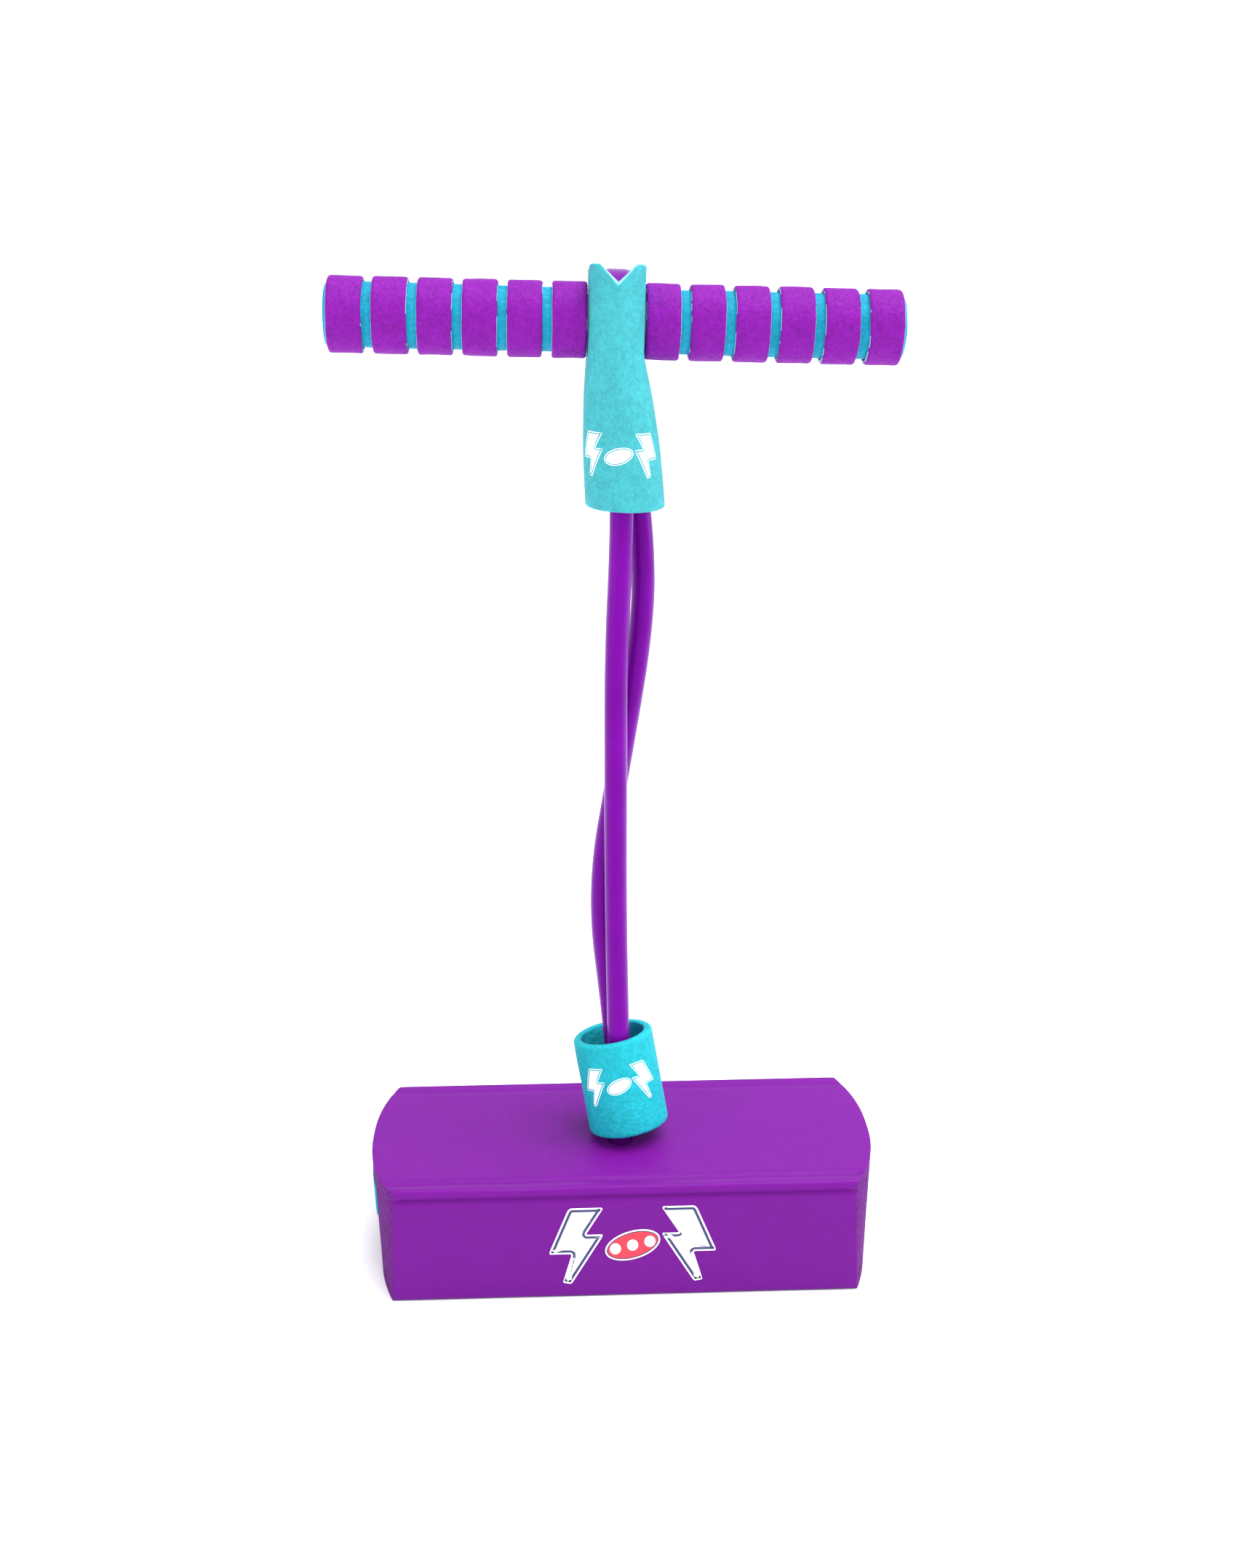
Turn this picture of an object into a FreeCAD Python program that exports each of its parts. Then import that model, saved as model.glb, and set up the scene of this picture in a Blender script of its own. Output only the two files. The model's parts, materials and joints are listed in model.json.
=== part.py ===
"""Foam pogo jumper: a foam foot block, a loop of rubber cord that rises from it, a loose foam collar
round the cord, and a foam handlebar that hangs in the top of the loop inside a foam sleeve.

Frame: +Z up, X along the handlebar and the foot block, Y through the block's depth; the origin is the
middle of the sole. Millimetres and degrees. Every driving size is a cell of the sheet Sizes.
"""
import FreeCAD
import Part
import Sketcher

import math
import os

from FreeCAD import Placement, Rotation, Vector

DRIVING_SIZES = {
    # foot block
    "base_length": 250.0,
    "base_depth": 110.0,
    "base_height": 60.5,
    "base_end_bulge": 10.6,
    "base_edge_round": 5.5,
    "wrap_side_wall": 25.0,
    "wrap_top_wall": 10.5,
    "sole_height": 33.5,
    # rubber cord
    "cord_diameter": 10.7,
    "cord_gap": 0.9,
    "cord_hole_gap": 0.4,
    "cord_centre_x": -0.75,
    "cord_centre_y": -2.0,
    "root_length": 5.0,
    "sleeve_leg": 12.0,
    # cord anchor under the block
    "anchor_margin": 3.0,
    "anchor_thickness": 4.0,
    "clamp_length": 34.0,
    "clamp_width": 19.0,
    "clamp_height": 11.0,
    "plug_height": 15.0,
    "moulded_gap": 0.3,
    # squeaker in the core
    "squeaker_x": 66.0,
    "squeaker_diameter": 30.0,
    "squeaker_well_gap": 2.5,
    "squeaker_floor": 2.0,
    "bellows_height": 9.0,
    "bellows_wall": 1.2,
    "bellows_fold": 2.4,
    "reed_diameter": 11.0,
    "reed_height": 3.0,
    "squeaker_cap_height": 3.0,
    # collar
    "collar_play": 4.5,
    "collar_wall": 4.1,
    "collar_length": 49.2,
    "collar_x": 4.0,
    "collar_y": -2.0,
    "collar_rest_gap": 1.2,
    "collar_lean_left": 9.5,
    "collar_lean_back": 8.0,
    # handlebar
    "bar_height": 462.6,
    "bar_roll": 1.86,
    "pipe_diameter": 22.4,
    "pipe_wall": 1.8,
    "pipe_end_gap": 2.0,
    "cord_bar_gap": 0.1,
    "grip_sleeve_gap": 0.7,
    "grip_core_wall": 2.7,
    "grip_fit": 0.1,
    "grip_end_wall": 1.5,
    "ring_count": 6.0,
    "ring_thickness": 2.5,
    "ring_width": 15.4,
    "ring_groove": 4.1,
    "ring_round": 2.2,
    "ring_start_gap": 0.1,
    "end_cap_depth": 10.0,
    "end_cap_flange": 1.5,
    # sleeve
    "sleeve_wall": 4.0,
    "sleeve_above_bar": 26.0,
    "sleeve_below_bar": 81.6,
    "sleeve_straight_below": 17.0,
    "sleeve_half_width": 11.9,
    "sleeve_cord_gap": 0.4,
    "sleeve_bottom_half_width": 18.1,
    "sleeve_bottom_half_depth": 18.9,
    "sleeve_bottom_shift": 6.4,
    "sleeve_hole_gap": 0.1,
    "notch_width": 15.8,
    "notch_depth": 8.8,
}

# Centre points of the two strands, from the block's top to the sleeve's mouth: x, y, z.
FRONT_ROUTE = [
    (-0.75, -3.1, 121.0),
    (-1.8, -4.3, 180.0),
    (-1.1, -5.8, 250.0),
    (-0.9, -6.3, 312.0),
    (1.2, -7.0, 368.0),
    (0.8, -9.2, 404.0),
]
REAR_ROUTE = [
    (-2.1, 8.0, 121.0),
    (-9.6, 7.3, 190.0),
    (0.3, 5.8, 258.0),
    (11.4, 5.6, 325.0),
    (11.2, 5.8, 368.0),
    (5.4, 8.6, 406.0),
]

doc = FreeCAD.newDocument("pogo_jumper")
sheet = doc.addObject("Spreadsheet::Sheet", "Sizes")
for row, (word, number) in enumerate(DRIVING_SIZES.items(), start=1):
    sheet.set(f"A{row}", word)
    sheet.set(f"B{row}", str(number))
    sheet.setAlias(f"B{row}", word)
doc.recompute()


class Size:
    """A length with the expression that gives it, so that a sum of sizes stays bound to the sheet."""

    def __init__(self, text, number):
        self.text = text
        self.number = number

    def _with(self, other, sign, number):
        text = other.text if isinstance(other, Size) else repr(float(other))
        return Size(f"({self.text} {sign} {text})", number)

    def __add__(self, other):
        return self._with(other, "+", self.number + number_of(other))

    def __sub__(self, other):
        return self._with(other, "-", self.number - number_of(other))

    def __mul__(self, other):
        return self._with(other, "*", self.number * number_of(other))

    def __truediv__(self, other):
        return self._with(other, "/", self.number / number_of(other))

    def __neg__(self):
        return self * -1

    def root(self):
        return Size(f"sqrt({self.text})", math.sqrt(self.number))


def number_of(value):
    return value.number if isinstance(value, Size) else float(value)


def size(word):
    return Size(f"Sizes.{word}", float(getattr(sheet, word)))


# What follows from the sizes above: each is a fit round another piece, or stands clear of it.
PIPE_RADIUS = size("pipe_diameter") / 2
CORD_RADIUS = size("cord_diameter") / 2
CORD_SPACING = size("cord_diameter") + size("cord_gap")
LOOP_RADIUS = PIPE_RADIUS + CORD_RADIUS + size("cord_bar_gap")
SLEEVE_HALF_DEPTH = LOOP_RADIUS + CORD_RADIUS + size("sleeve_cord_gap") + size("sleeve_wall")
GRIP_START = size("sleeve_half_width") + size("grip_sleeve_gap")
GRIP_CORE_RADIUS = PIPE_RADIUS + size("grip_fit") + size("grip_core_wall")
RING_RADIUS = GRIP_CORE_RADIUS + size("ring_thickness")
COLLAR_BORE = CORD_SPACING / 2 + CORD_RADIUS + size("collar_play")
ANCHOR_RADIUS = size("base_depth") / 2 - size("wrap_side_wall") - size("anchor_margin")


def bind(thing, path, value):
    thing.setExpression(path, value.text if isinstance(value, Size) else str(value))


# ---------------------------------------------------------------- sketches and features

NOTHING = Size("0", 0.0)


def new_body(label):
    body = doc.addObject("PartDesign::Body", label)
    body.Label = label
    return body


def new_sketch(body, role, level=NOTHING):
    """A sketch on one of the body's own origin planes, moved along the plane's normal by level."""
    sketch = body.newObject("Sketcher::SketchObject", f"{body.Label}_sketch")
    plane = next(p for p in body.Origin.OriginFeatures if p.Role == role)
    sketch.AttachmentSupport = [(plane, "")]
    sketch.MapMode = "FlatFace"
    if level is not NOTHING:
        bind(sketch, ".AttachmentOffset.Base.z", level)
    return sketch


def hold(sketch, geometry, point, x, y):
    """Fixes a point of the sketch at two sizes."""
    for kind, axis, value in (("DistanceX", -2, x), ("DistanceY", -1, y)):
        if value is NOTHING:
            sketch.addConstraint(Sketcher.Constraint("PointOnObject", geometry, point, axis))
        else:
            made = Sketcher.Constraint(kind, -1, 1, geometry, point, value.number)
            bind(sketch, f"Constraints[{sketch.addConstraint(made)}]", value)


def polygon(sketch, corners):
    """Straight sides through the corners, each corner held at its two sizes."""
    first = sketch.GeometryCount
    count = len(corners)
    for i, (x, y) in enumerate(corners):
        to_x, to_y = corners[(i + 1) % count]
        start, end = Vector(x.number, y.number, 0), Vector(to_x.number, to_y.number, 0)
        sketch.addGeometry(Part.LineSegment(start, end))
    for i in range(count):
        joined = ("Coincident", first + i, 2, first + (i + 1) % count, 1)
        sketch.addConstraint(Sketcher.Constraint(*joined))
    for i, (x, y) in enumerate(corners):
        hold(sketch, first + i, 1, x, y)
    return sketch


def circle(sketch, x, y, radius):
    made = Part.Circle(Vector(x.number, y.number, 0), Vector(0, 0, 1), radius.number)
    number = sketch.addGeometry(made)
    hold(sketch, number, 3, x, y)
    round_it = sketch.addConstraint(Sketcher.Constraint("Radius", number, radius.number))
    bind(sketch, f"Constraints[{round_it}]", radius)
    return sketch


def obround(sketch, x, y, half_width, half_depth):
    """A slot outline, long in the sketch's y: two half circles joined by two straight sides."""
    reach = half_depth - half_width
    top = Vector(x.number, y.number + reach.number, 0)
    low = Vector(x.number, y.number - reach.number, 0)
    wide = Vector(half_width.number, 0, 0)
    up = Vector(0, 0, 1)
    first = sketch.GeometryCount
    radius = half_width.number
    sketch.addGeometry(Part.ArcOfCircle(Part.Circle(top, up, radius), 0, math.pi))
    sketch.addGeometry(Part.LineSegment(top - wide, low - wide))
    sketch.addGeometry(Part.ArcOfCircle(Part.Circle(low, up, radius), math.pi, 2 * math.pi))
    sketch.addGeometry(Part.LineSegment(low + wide, top + wide))
    for i in range(4):
        joined = ("Tangent", first + i, 2, first + (i + 1) % 4, 1)
        sketch.addConstraint(Sketcher.Constraint(*joined))
    sketch.addConstraint(Sketcher.Constraint("Vertical", first + 1))
    hold(sketch, first, 3, x, y + reach)
    hold(sketch, first + 2, 3, x, y - reach)
    round_it = sketch.addConstraint(Sketcher.Constraint("Radius", first, radius))
    bind(sketch, f"Constraints[{round_it}]", half_width)
    return sketch


def feature(body, kind, profile, **settings):
    """A Pad, Pocket, Revolution and so on of a sketch; a Size is bound, anything else is set."""
    made = body.newObject(f"PartDesign::{kind}", f"{body.Label}_{kind.lower()}")
    made.Profile = profile
    for name, value in settings.items():
        if isinstance(value, Size):
            bind(made, name, value)
        else:
            setattr(made, name, value)
    profile.Visibility = False
    doc.recompute()
    return made


def revolve(body, role, corners, cut=False):
    """Turns an outline about the sketch's own horizontal or vertical axis through the origin."""
    sketch = polygon(new_sketch(body, role), corners)
    axis = "H_Axis" if role == "XY_Plane" else "V_Axis"
    kind = "Groove" if cut else "Revolution"
    return feature(body, kind, sketch, ReferenceAxis=(sketch, [axis]), Angle=360)


def soften(body, kind, amount, wanted):
    """A Fillet or Chamfer on the edges of the body's last feature that pass the test."""
    last = body.Tip
    edges = last.Shape.Edges
    names = [f"Edge{i}" for i, edge in enumerate(edges, start=1) if wanted(edge)]
    made = body.newObject(f"PartDesign::{kind}", f"{body.Label}_{kind.lower()}")
    made.Base = (last, names)
    bind(made, "Radius" if kind == "Fillet" else "Size", amount)
    last.Visibility = False
    doc.recompute()
    return made


def at_height(height, edge):
    box = edge.BoundBox
    return abs(box.ZMin - height) < 0.01 and abs(box.ZMax - height) < 0.01


def lift(body, x, y, z):
    for axis, value in (("x", x), ("y", y), ("z", z)):
        if value is not NOTHING:
            bind(body, f".Placement.Base.{axis}", value)


# ---------------------------------------------------------------- foot block

BASE_TOP = size("base_height")
HALF_DEPTH = size("base_depth") / 2
CORE_HALF = HALF_DEPTH - size("wrap_side_wall")
CORE_TOP = BASE_TOP - size("wrap_top_wall")
BULGE = size("base_end_bulge")
END_RADIUS = (HALF_DEPTH * HALF_DEPTH + BULGE * BULGE) / (BULGE * 2)
SLOT_HALF_WIDTH = size("cord_diameter") / 2 + size("cord_hole_gap")
SLOT_HALF_LENGTH = SLOT_HALF_WIDTH + CORD_SPACING / 2


def end_reach(half_depth):
    """How far from the middle the bulged end stands, at half_depth from the centreline."""
    centre = size("base_length") / 2 - END_RADIUS
    return centre + (END_RADIUS * END_RADIUS - half_depth * half_depth).root()


def plan(sketch, half_depth):
    """The block's outline from above: two straight sides and two bulged ends."""
    reach = end_reach(half_depth)
    radius = END_RADIUS.number
    centre = size("base_length").number / 2 - radius
    spread = math.asin(half_depth.number / radius)
    up = Vector(0, 0, 1)
    right = Part.Circle(Vector(centre, 0, 0), up, radius)
    left = Part.Circle(Vector(-centre, 0, 0), up, radius)
    corner = Vector(reach.number, half_depth.number, 0)
    across, along = Vector(2 * reach.number, 0, 0), Vector(0, 2 * half_depth.number, 0)
    sketch.addGeometry(Part.ArcOfCircle(right, -spread, spread))
    sketch.addGeometry(Part.LineSegment(corner, corner - across))
    sketch.addGeometry(Part.ArcOfCircle(left, math.pi - spread, math.pi + spread))
    sketch.addGeometry(Part.LineSegment(corner - across - along, corner - along))
    for i in range(4):
        joined = ("Coincident", i, 2, (i + 1) % 4, 1)
        sketch.addConstraint(Sketcher.Constraint(*joined))
    for line, x, y in ((1, reach, half_depth), (3, -reach, -half_depth)):
        hold(sketch, line, 1, x, y)
        hold(sketch, line, 2, -x, y)
    for arc in (0, 2):
        number = sketch.addConstraint(Sketcher.Constraint("Radius", arc, radius))
        bind(sketch, f"Constraints[{number}]", END_RADIUS)
    return sketch


def cord_slot(body, level, depth):
    """The slot that both strands pass through, cut down from level."""
    sketch = new_sketch(body, "XY_Plane", level)
    obround(
        sketch,
        size("cord_centre_x"),
        size("cord_centre_y"),
        SLOT_HALF_WIDTH,
        SLOT_HALF_LENGTH,
    )
    return feature(body, "Pocket", sketch, Length=depth)


def base_wrap():
    """The outer foam: a top and two side walls in one piece, open at both ends, rounded along the top."""
    body = new_body("base_wrap")
    outline = plan(new_sketch(body, "XY_Plane"), HALF_DEPTH)
    feature(body, "Pad", outline, Length=BASE_TOP)
    channel = new_sketch(body, "YZ_Plane")
    polygon(
        channel,
        [
            (-CORE_HALF, NOTHING),
            (CORE_HALF, NOTHING),
            (CORE_HALF, CORE_TOP),
            (-CORE_HALF, CORE_TOP),
        ],
    )
    feature(body, "Pocket", channel, Type="ThroughAll", Midplane=True)
    cord_slot(body, BASE_TOP, size("wrap_top_wall"))
    top = BASE_TOP.number
    side = HALF_DEPTH.number

    def long_top_edge(edge):
        return at_height(top, edge) and abs(abs(edge.CenterOfMass.y) - side) < 0.01

    soften(body, "Fillet", size("base_edge_round"), long_top_edge)
    return body


def base_core():
    """The pale foam layer under the top, with the strands' slot and the squeaker's well."""
    body = new_body("base_core")
    outline = plan(new_sketch(body, "XY_Plane", size("sole_height")), CORE_HALF)
    thick = CORE_TOP - size("sole_height")
    feature(body, "Pad", outline, Length=thick)
    cord_slot(body, CORE_TOP, thick)
    well = new_sketch(body, "XY_Plane", CORE_TOP)
    radius = size("squeaker_diameter") / 2 + size("squeaker_well_gap")
    circle(well, size("squeaker_x"), NOTHING, radius)
    feature(body, "Pocket", well, Length=thick - size("squeaker_floor"))
    return body


def base_sole():
    """The foam that meets the ground, with a round recess for the cord's anchor."""
    body = new_body("base_sole")
    outline = plan(new_sketch(body, "XY_Plane"), CORE_HALF)
    feature(body, "Pad", outline, Length=size("sole_height"))
    recess = new_sketch(body, "XY_Plane", size("sole_height"))
    circle(recess, NOTHING, NOTHING, ANCHOR_RADIUS)
    feature(body, "Pocket", recess, Length=size("sole_height"))
    return body


def anchor_plate():
    """A moulded disc that spreads the cord's pull over the foam."""
    body = new_body("anchor_plate")
    under = size("sole_height") - size("anchor_thickness")
    outline = new_sketch(body, "XY_Plane", under)
    circle(outline, NOTHING, NOTHING, ANCHOR_RADIUS - size("moulded_gap"))
    feature(body, "Pad", outline, Length=size("anchor_thickness"))
    cord_slot(body, size("sole_height"), size("anchor_thickness"))
    return body


def cord_clamp():
    """The block under the plate that grips both ends of the cord."""
    body = new_body("cord_clamp")
    top = size("sole_height") - size("anchor_thickness")
    low = top - size("clamp_height")
    half_x, half_y = size("clamp_width") / 2, size("clamp_length") / 2
    x, y = size("cord_centre_x"), size("cord_centre_y")
    outline = new_sketch(body, "XY_Plane", low)
    corners = [(x - half_x, y - half_y), (x + half_x, y - half_y)]
    corners += [(x + half_x, y + half_y), (x - half_x, y + half_y)]
    feature(body, "Pad", polygon(outline, corners), Length=size("clamp_height"))
    soften(body, "Chamfer", size("moulded_gap") * 4, lambda edge: at_height(low.number, edge))
    for side in (-1, 1):
        hole = new_sketch(body, "XY_Plane", top)
        centre = y + CORD_SPACING * side / 2
        circle(hole, x, centre, CORD_RADIUS + size("cord_hole_gap") / 4)
        feature(body, "Pocket", hole, Type="ThroughAll")
    return body


def sole_plug():
    """The foam disc that closes the anchor's recess, flush with the sole."""
    body = new_body("sole_plug")
    outline = new_sketch(body, "XY_Plane")
    circle(outline, NOTHING, NOTHING, ANCHOR_RADIUS - size("moulded_gap"))
    feature(body, "Pad", outline, Length=size("plug_height"))
    return body


# ---------------------------------------------------------------- squeaker

SQUEAKER_FLOOR = size("sole_height") + size("squeaker_floor")


def squeaker_reed():
    """The whistle that the air leaves through, under the bellows."""
    body = new_body("squeaker_reed")
    radius, high = size("reed_diameter") / 2, size("reed_height")
    inner = radius / 3
    corners = [(inner, NOTHING), (radius, NOTHING), (radius, high), (inner, high)]
    revolve(body, "XZ_Plane", corners)
    lift(body, size("squeaker_x"), NOTHING, SQUEAKER_FLOOR)
    return body


def squeaker_bellows():
    """A soft folded bulb: two outward folds with a waist between them, open at the foot."""
    body = new_body("squeaker_bellows")
    outer = size("squeaker_diameter") / 2
    waist = outer - size("bellows_fold")
    wall = size("bellows_wall")
    quarter = size("bellows_height") / 4
    top = quarter * 4
    corners = [
        (waist, NOTHING),
        (outer, quarter),
        (waist, quarter * 2),
        (outer, quarter * 3),
        (waist, top),
        (NOTHING, top),
        (NOTHING, top - wall),
        (waist - wall, top - wall),
        (outer - wall * 1.6, quarter * 3),
        (waist - wall * 1.6, quarter * 2),
        (outer - wall * 1.6, quarter),
        (waist - wall * 1.6, NOTHING),
    ]
    revolve(body, "XZ_Plane", corners)
    lift(body, size("squeaker_x"), NOTHING, SQUEAKER_FLOOR)
    return body


def squeaker_cap():
    """The stiff disc on the bellows that a foot presses through the foam."""
    body = new_body("squeaker_cap")
    radius, high = size("squeaker_diameter") / 2, size("squeaker_cap_height")
    sketch = new_sketch(body, "XY_Plane")
    circle(sketch, NOTHING, NOTHING, radius)
    feature(body, "Pad", sketch, Length=high)
    soften(body, "Chamfer", high / 4, lambda edge: at_height(high.number, edge))
    lift(body, size("squeaker_x"), NOTHING, SQUEAKER_FLOOR + size("bellows_height"))
    return body


# ---------------------------------------------------------------- handlebar and sleeve

BAR = size("bar_height")
BAR_TURN = Rotation(Vector(0, 1, 0), size("bar_roll").number)
RING_PITCH = size("ring_width") + size("ring_groove")
GRIP_END = (
    GRIP_START + size("ring_start_gap") * 2 + RING_PITCH * size("ring_count")
) - size("ring_groove")
PIPE_END = GRIP_END - size("pipe_end_gap")


def on_bar(body):
    """Moves a body made about the origin to the bar's middle, rolled as the bar is."""
    body.Placement = Placement(Vector(0, 0, BAR.number), BAR_TURN)
    bind(body, ".Placement.Base.z", BAR)
    bind(body, ".Placement.Rotation.Angle", size("bar_roll"))
    return body


def handlebar_tube():
    """The moulded pipe that carries both grips and hangs in the cord's loop."""
    body = new_body("handlebar_tube")
    inner = PIPE_RADIUS - size("pipe_wall")
    corners = [(-PIPE_END, inner), (PIPE_END, inner), (PIPE_END, PIPE_RADIUS), (-PIPE_END, PIPE_RADIUS)]
    revolve(body, "XY_Plane", corners)
    return on_bar(body)


def end_cap(side, label):
    """A push-in plug that closes the pipe's end: a flange and a hollow spigot."""
    body = new_body(label)
    spigot = PIPE_RADIUS - size("pipe_wall") - size("moulded_gap") / 3
    hollow = spigot - size("pipe_wall")
    face = (PIPE_END + size("end_cap_flange")) * side
    rim = PIPE_END * side
    deep = (PIPE_END - size("end_cap_depth")) * side
    corners = [(deep, hollow), (deep, spigot), (rim, spigot), (rim, PIPE_RADIUS)]
    corners += [(face, PIPE_RADIUS), (face, NOTHING), (rim, NOTHING), (rim, hollow)]
    revolve(body, "XY_Plane", corners)
    return on_bar(body)


def grip_core(side, label):
    """The pale foam tube of a grip, pushed over the pipe and closed at its outer end."""
    body = new_body(label)
    bore = PIPE_RADIUS + size("grip_fit")
    outer = GRIP_CORE_RADIUS
    start = GRIP_START * side
    inside = (GRIP_END + size("moulded_gap")) * side
    end = (GRIP_END + size("moulded_gap") + size("grip_end_wall")) * side
    corners = [(start, bore), (start, outer), (end, outer), (end, NOTHING)]
    corners += [(inside, NOTHING), (inside, bore)]
    revolve(body, "XY_Plane", corners)
    rounded = size("grip_end_wall") * 0.8
    reach = abs(end.number)

    def outer_rim(edge):
        box = edge.BoundBox
        return abs(abs(box.XMin) - reach) < 0.01 and box.YLength > 1

    soften(body, "Fillet", rounded, outer_rim)
    return on_bar(body)


def grip_ring(side, number, label):
    """One foam ring of a grip, with its outer edges rounded."""
    body = new_body(label)
    near = GRIP_START + size("ring_start_gap") + RING_PITCH * number
    bore, outer = GRIP_CORE_RADIUS, RING_RADIUS
    start, end = near * side, (near + size("ring_width")) * side
    corners = [(start, bore), (start, outer), (end, outer), (end, bore)]
    revolve(body, "XY_Plane", corners)
    radius = outer.number

    def outer_edge(edge):
        return isinstance(edge.Curve, Part.Circle) and abs(edge.Curve.Radius - radius) < 0.01

    soften(body, "Fillet", size("ring_round"), outer_edge)
    return on_bar(body)


# How far down the sleeve's slope, with the shares of its widening and of its lean reached there.
SLEEVE_LEVELS = (
    (0.0, 0.0, 0.0),
    (0.12, 0.26, 0.12),
    (0.3, 0.56, 0.3),
    (0.5, 0.77, 0.5),
    (0.75, 0.94, 0.75),
    (1.0, 1.0, 1.0),
)


def sleeve_sections(body, less):
    """Slot outlines of the sleeve from its top to its bottom, smaller all round by less."""
    wide, deep = size("sleeve_half_width"), SLEEVE_HALF_DEPTH
    spare = size("sleeve_bottom_half_width") - wide
    slim = size("sleeve_bottom_half_depth") - deep
    straight, below = size("sleeve_straight_below"), size("sleeve_below_bar")
    levels = [(size("sleeve_above_bar"), 0.0, 0.0)]
    levels += [(-(straight + (below - straight) * down), *shares) for down, *shares in SLEEVE_LEVELS]
    sections = []
    for level, widening, lean in levels:
        sketch = new_sketch(body, "XY_Plane", level)
        shift = size("sleeve_bottom_shift") * lean if lean else NOTHING
        half_width, half_depth = wide + spare * widening, deep + slim * (lean * lean)
        obround(sketch, shift, NOTHING, half_width - less, half_depth - less)
        sketch.Visibility = False
        sections.append(sketch)
    return sections


def loft(body, kind, sections):
    made = body.newObject(f"PartDesign::{kind}", f"{body.Label}_{kind.lower()}")
    made.Profile = sections[0]
    made.Sections = sections[1:]
    made.Ruled = True
    doc.recompute()
    return made


def sleeve():
    """The foam tube over the cord's loop: oval round the pipe, round and wider at its mouth, with the
    pipe's two side holes and a V cut across its top."""
    body = new_body("sleeve")
    loft(body, "AdditiveLoft", sleeve_sections(body, NOTHING))
    loft(body, "SubtractiveLoft", sleeve_sections(body, size("sleeve_wall")))
    bar_hole = new_sketch(body, "YZ_Plane")
    circle(bar_hole, NOTHING, NOTHING, PIPE_RADIUS + size("sleeve_hole_gap"))
    feature(body, "Pocket", bar_hole, Type="ThroughAll", Midplane=True)
    top = size("sleeve_above_bar")
    floor = top - size("notch_depth")
    over = top + size("notch_depth")
    half = size("notch_width")
    notch = new_sketch(body, "XZ_Plane")
    polygon(notch, [(NOTHING, floor), (half, over), (-half, over)])
    feature(body, "Pocket", notch, Type="ThroughAll", Midplane=True)
    return on_bar(body)


# ---------------------------------------------------------------- collar


def collar():
    """The loose foam tube round both strands, standing on the block and leaning against them."""
    body = new_body("collar")
    sketch = new_sketch(body, "XY_Plane")
    outer = COLLAR_BORE + size("collar_wall")
    circle(sketch, NOTHING, NOTHING, outer)
    circle(sketch, NOTHING, NOTHING, COLLAR_BORE)
    feature(body, "Pad", sketch, Length=size("collar_length"))
    lean = Rotation(Vector(0, 1, 0), -size("collar_lean_left").number)
    tip = Rotation(Vector(1, 0, 0), -size("collar_lean_back").number)
    body.Placement = Placement(Vector(), tip * lean)
    tilt = (tip * lean).multVec(Vector(0, 0, 1)).getAngle(Vector(0, 0, 1))
    rise = BASE_TOP + size("collar_rest_gap") + outer * math.sin(tilt)
    lift(body, size("collar_x"), size("collar_y"), rise)
    return body


# ---------------------------------------------------------------- rubber cord


def rounded_wire(points, share=0.45):
    """Straight runs joined by tangent arcs, each as large as its two runs allow."""
    edges, last = [], points[0]
    for before, corner, after in zip(points, points[1:], points[2:]):
        back, on = (before - corner).normalize(), (after - corner).normalize()
        half_turn = (math.pi - back.getAngle(on)) / 2
        reach = share * min((before - corner).Length, (after - corner).Length)
        radius = reach / math.tan(half_turn)
        inwards = (back + on).normalize()
        middle = corner + inwards * (radius / math.cos(half_turn) - radius)
        start, end = corner + back * reach, corner + on * reach
        edges.append(Part.LineSegment(last, start).toShape())
        edges.append(Part.Arc(start, middle, end).toShape())
        last = end
    edges.append(Part.LineSegment(last, points[-1]).toShape())
    return Part.Wire(edges)


def cord(label, points):
    """A length of the round cord along the points."""
    radius = CORD_RADIUS.number
    line = rounded_wire(points) if len(points) > 2 else Part.Wire(
        [Part.LineSegment(points[0], points[1]).toShape()]
    )
    along = (points[1] - points[0]).normalize()
    section = Part.Wire([Part.Circle(points[0], along, radius).toShape()])
    piece = doc.addObject("Part::Feature", label)
    piece.Label = label
    piece.Shape = line.makePipeShell([section], True, True)
    expected = math.pi * radius * radius * line.Length
    if abs(piece.Shape.Volume / expected - 1) > 0.01:
        raise ValueError(f"{label}: volume {piece.Shape.Volume:.0f}, section times length {expected:.0f}")
    return piece


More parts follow.
